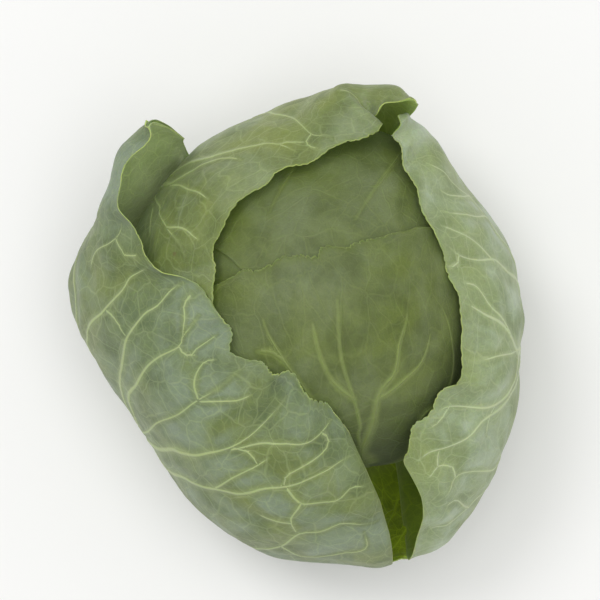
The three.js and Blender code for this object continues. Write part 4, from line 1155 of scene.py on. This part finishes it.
def make_leaves(relief, groups):
    wrapper = leaf_material("wrapper leaf", groups, WRAPPER_GREENS, net=0.2)
    pale = leaf_material("pale wrapper leaf", groups, PALE_GREENS, net=0.2, painted_glow_strength=0.12)
    top = leaf_material("top wrapper leaf", groups, TOP_GREENS, net=0.2, bloom_and_highlight=0.6)
    base = leaf_material("base leaf", groups, BASE_GREENS, net=0.3, painted_glow_strength=0.14)
    # The cap leaf gets painted shade below its shoulder.
    cap = leaf_material("cap leaf", groups, HEAD_GREENS, net=0.1, bloom_and_highlight=0.5, veins=(0.4, 0.4), low_painted_shade=0.9)
    head = leaf_material("head leaf", groups, HEAD_GREENS, net=0.1, bloom_and_highlight=0.5, veins=(0.25, 0.25))

    wrappers = [
        ("left", LEFT_LEAF, LEFT_VEINS, STOUT_RIB_HEIGHT, "wrapper_leaf", wrapper),
        ("top", TOP_LEAF, TOP_VEINS, LOW_RIB_HEIGHT, "wrapper_leaf", top),
        ("right", RIGHT_LEAF, RIGHT_VEINS, STOUT_RIB_HEIGHT, "wrapper_leaf", pale),
        ("base", BASE_LEAF, BASE_VEINS, LOW_RIB_HEIGHT, "base_leaf", base),
    ]
    for side, leaf, veins, rib_height, slot, material in wrappers:
        name = side + "_wrapper"
        heights = (rib_height, VEIN_HEIGHT)
        look = {"Material": material, **LOOSE_BLADE}
        mesh = leaf_piece(name, leaf, veins, heights, wrapper_thickness, relief, look)
        finished(name, mesh, side + "_leaf")
    closed = [
        ("cap_sheet", CAP_LEAF, CAP_VEINS, CAP_VEIN_HEIGHT, CAP_THICKNESS, "cap_leaf", "cap_leaf", cap),
        ("heart_sheet", HEART_LEAF, HEART_VEINS, HEART_VEIN_HEIGHT, HEART_LEAF_THICKNESS, "heart",
         "heart_leaf", head),
    ]
    for name, leaf, veins, vein_height, thickness, node, slot, material in closed:
        heights = (HEAD_RIB_HEIGHT, vein_height)
        look = {"Material": material, **TIGHT_BLADE}
        even = functools.partial(np.full_like, fill_value=thickness)
        finished(name, leaf_piece(name, leaf, veins, heights, even, relief, look), node)
    make_heart_core(head)


# ---------------------------------------------------------------- the studio

# Metres and watts: each light's name, place, size and power. All point at the head.
LIGHTS = [("key", (-1.5, 1.5, 4.2), 1.6, 52), ("overhead", (0.3, 0.2, 4.5), 3, 76)]
LIGHT_TARGET = (0, 0, 0.1)
SKY_STRENGTH = 0.6
FLOOR_REACH = 6
FLOOR_COLOUR = (0.86, 0.86, 0.85, 1)
FLOOR_ROUGHNESS = 0.9
SENSOR_WIDTH = 36


def area_light(name, position, size, power):
    data = bpy.data.lights.new(name, "AREA")
    data.shape = "DISK"
    data.size = size
    data.energy = power
    light = bpy.data.objects.new(name, data)
    light.location = position
    light.rotation_euler = (Vector(LIGHT_TARGET) - Vector(position)).to_track_quat("-Z", "Y").to_euler()
    bpy.context.scene.collection.objects.link(light)


def make_studio():
    """A pale floor, and soft light from the upper left, from straight above and all round."""
    mesh = bpy.data.meshes.new("floor")
    corners = [(-FLOOR_REACH, -FLOOR_REACH), (FLOOR_REACH, -FLOOR_REACH), (FLOOR_REACH, FLOOR_REACH),
               (-FLOOR_REACH, FLOOR_REACH)]
    mesh.from_pydata([(x, y, 0) for x, y in corners], [], [(0, 1, 2, 3)])
    floor = bpy.data.objects.new("floor", mesh)
    paper = bpy.data.materials.new("pale floor")
    paper.use_nodes = True
    inputs = paper.node_tree.nodes["Principled BSDF"].inputs
    inputs["Base Color"].default_value = FLOOR_COLOUR
    inputs["Roughness"].default_value = FLOOR_ROUGHNESS
    mesh.materials.append(paper)
    bpy.context.scene.collection.objects.link(floor)
    world = bpy.data.worlds.new("studio")
    bpy.context.scene.world = world
    world.use_nodes = True
    background = world.node_tree.nodes["Background"].inputs
    background["Color"].default_value = (1, 1, 1, 1)
    background["Strength"].default_value = SKY_STRENGTH
    bpy.context.scene.view_settings.view_transform = "Standard"
    for light in LIGHTS:
        area_light(*light)


def make_camera():
    """Straight over the head, with a square picture 600 steps of VIEW_STEP wide at the rim."""
    data = bpy.data.cameras.new("camera")
    data.sensor_width = SENSOR_WIDTH
    data.sensor_fit = "HORIZONTAL"
    data.lens = SENSOR_WIDTH * VIEW_DISTANCE / (2 * VIEW_MIDDLE * VIEW_STEP)
    camera = bpy.data.objects.new("camera", data)
    camera.location = (VIEW_AXIS[0] * MM, VIEW_AXIS[1] * MM, (VIEW_DISTANCE + VIEW_HEIGHT) * MM)
    bpy.context.scene.collection.objects.link(camera)
    bpy.context.scene.camera = camera


def main():
    groups = {"veins": vein_marks(), "net": leaf_net(), "wax": wax_clouds(), "spots": blemishes()}
    make_stem(stem_material())
    make_leaves(relief_tree(), groups)
    make_studio()
    make_camera()


main()
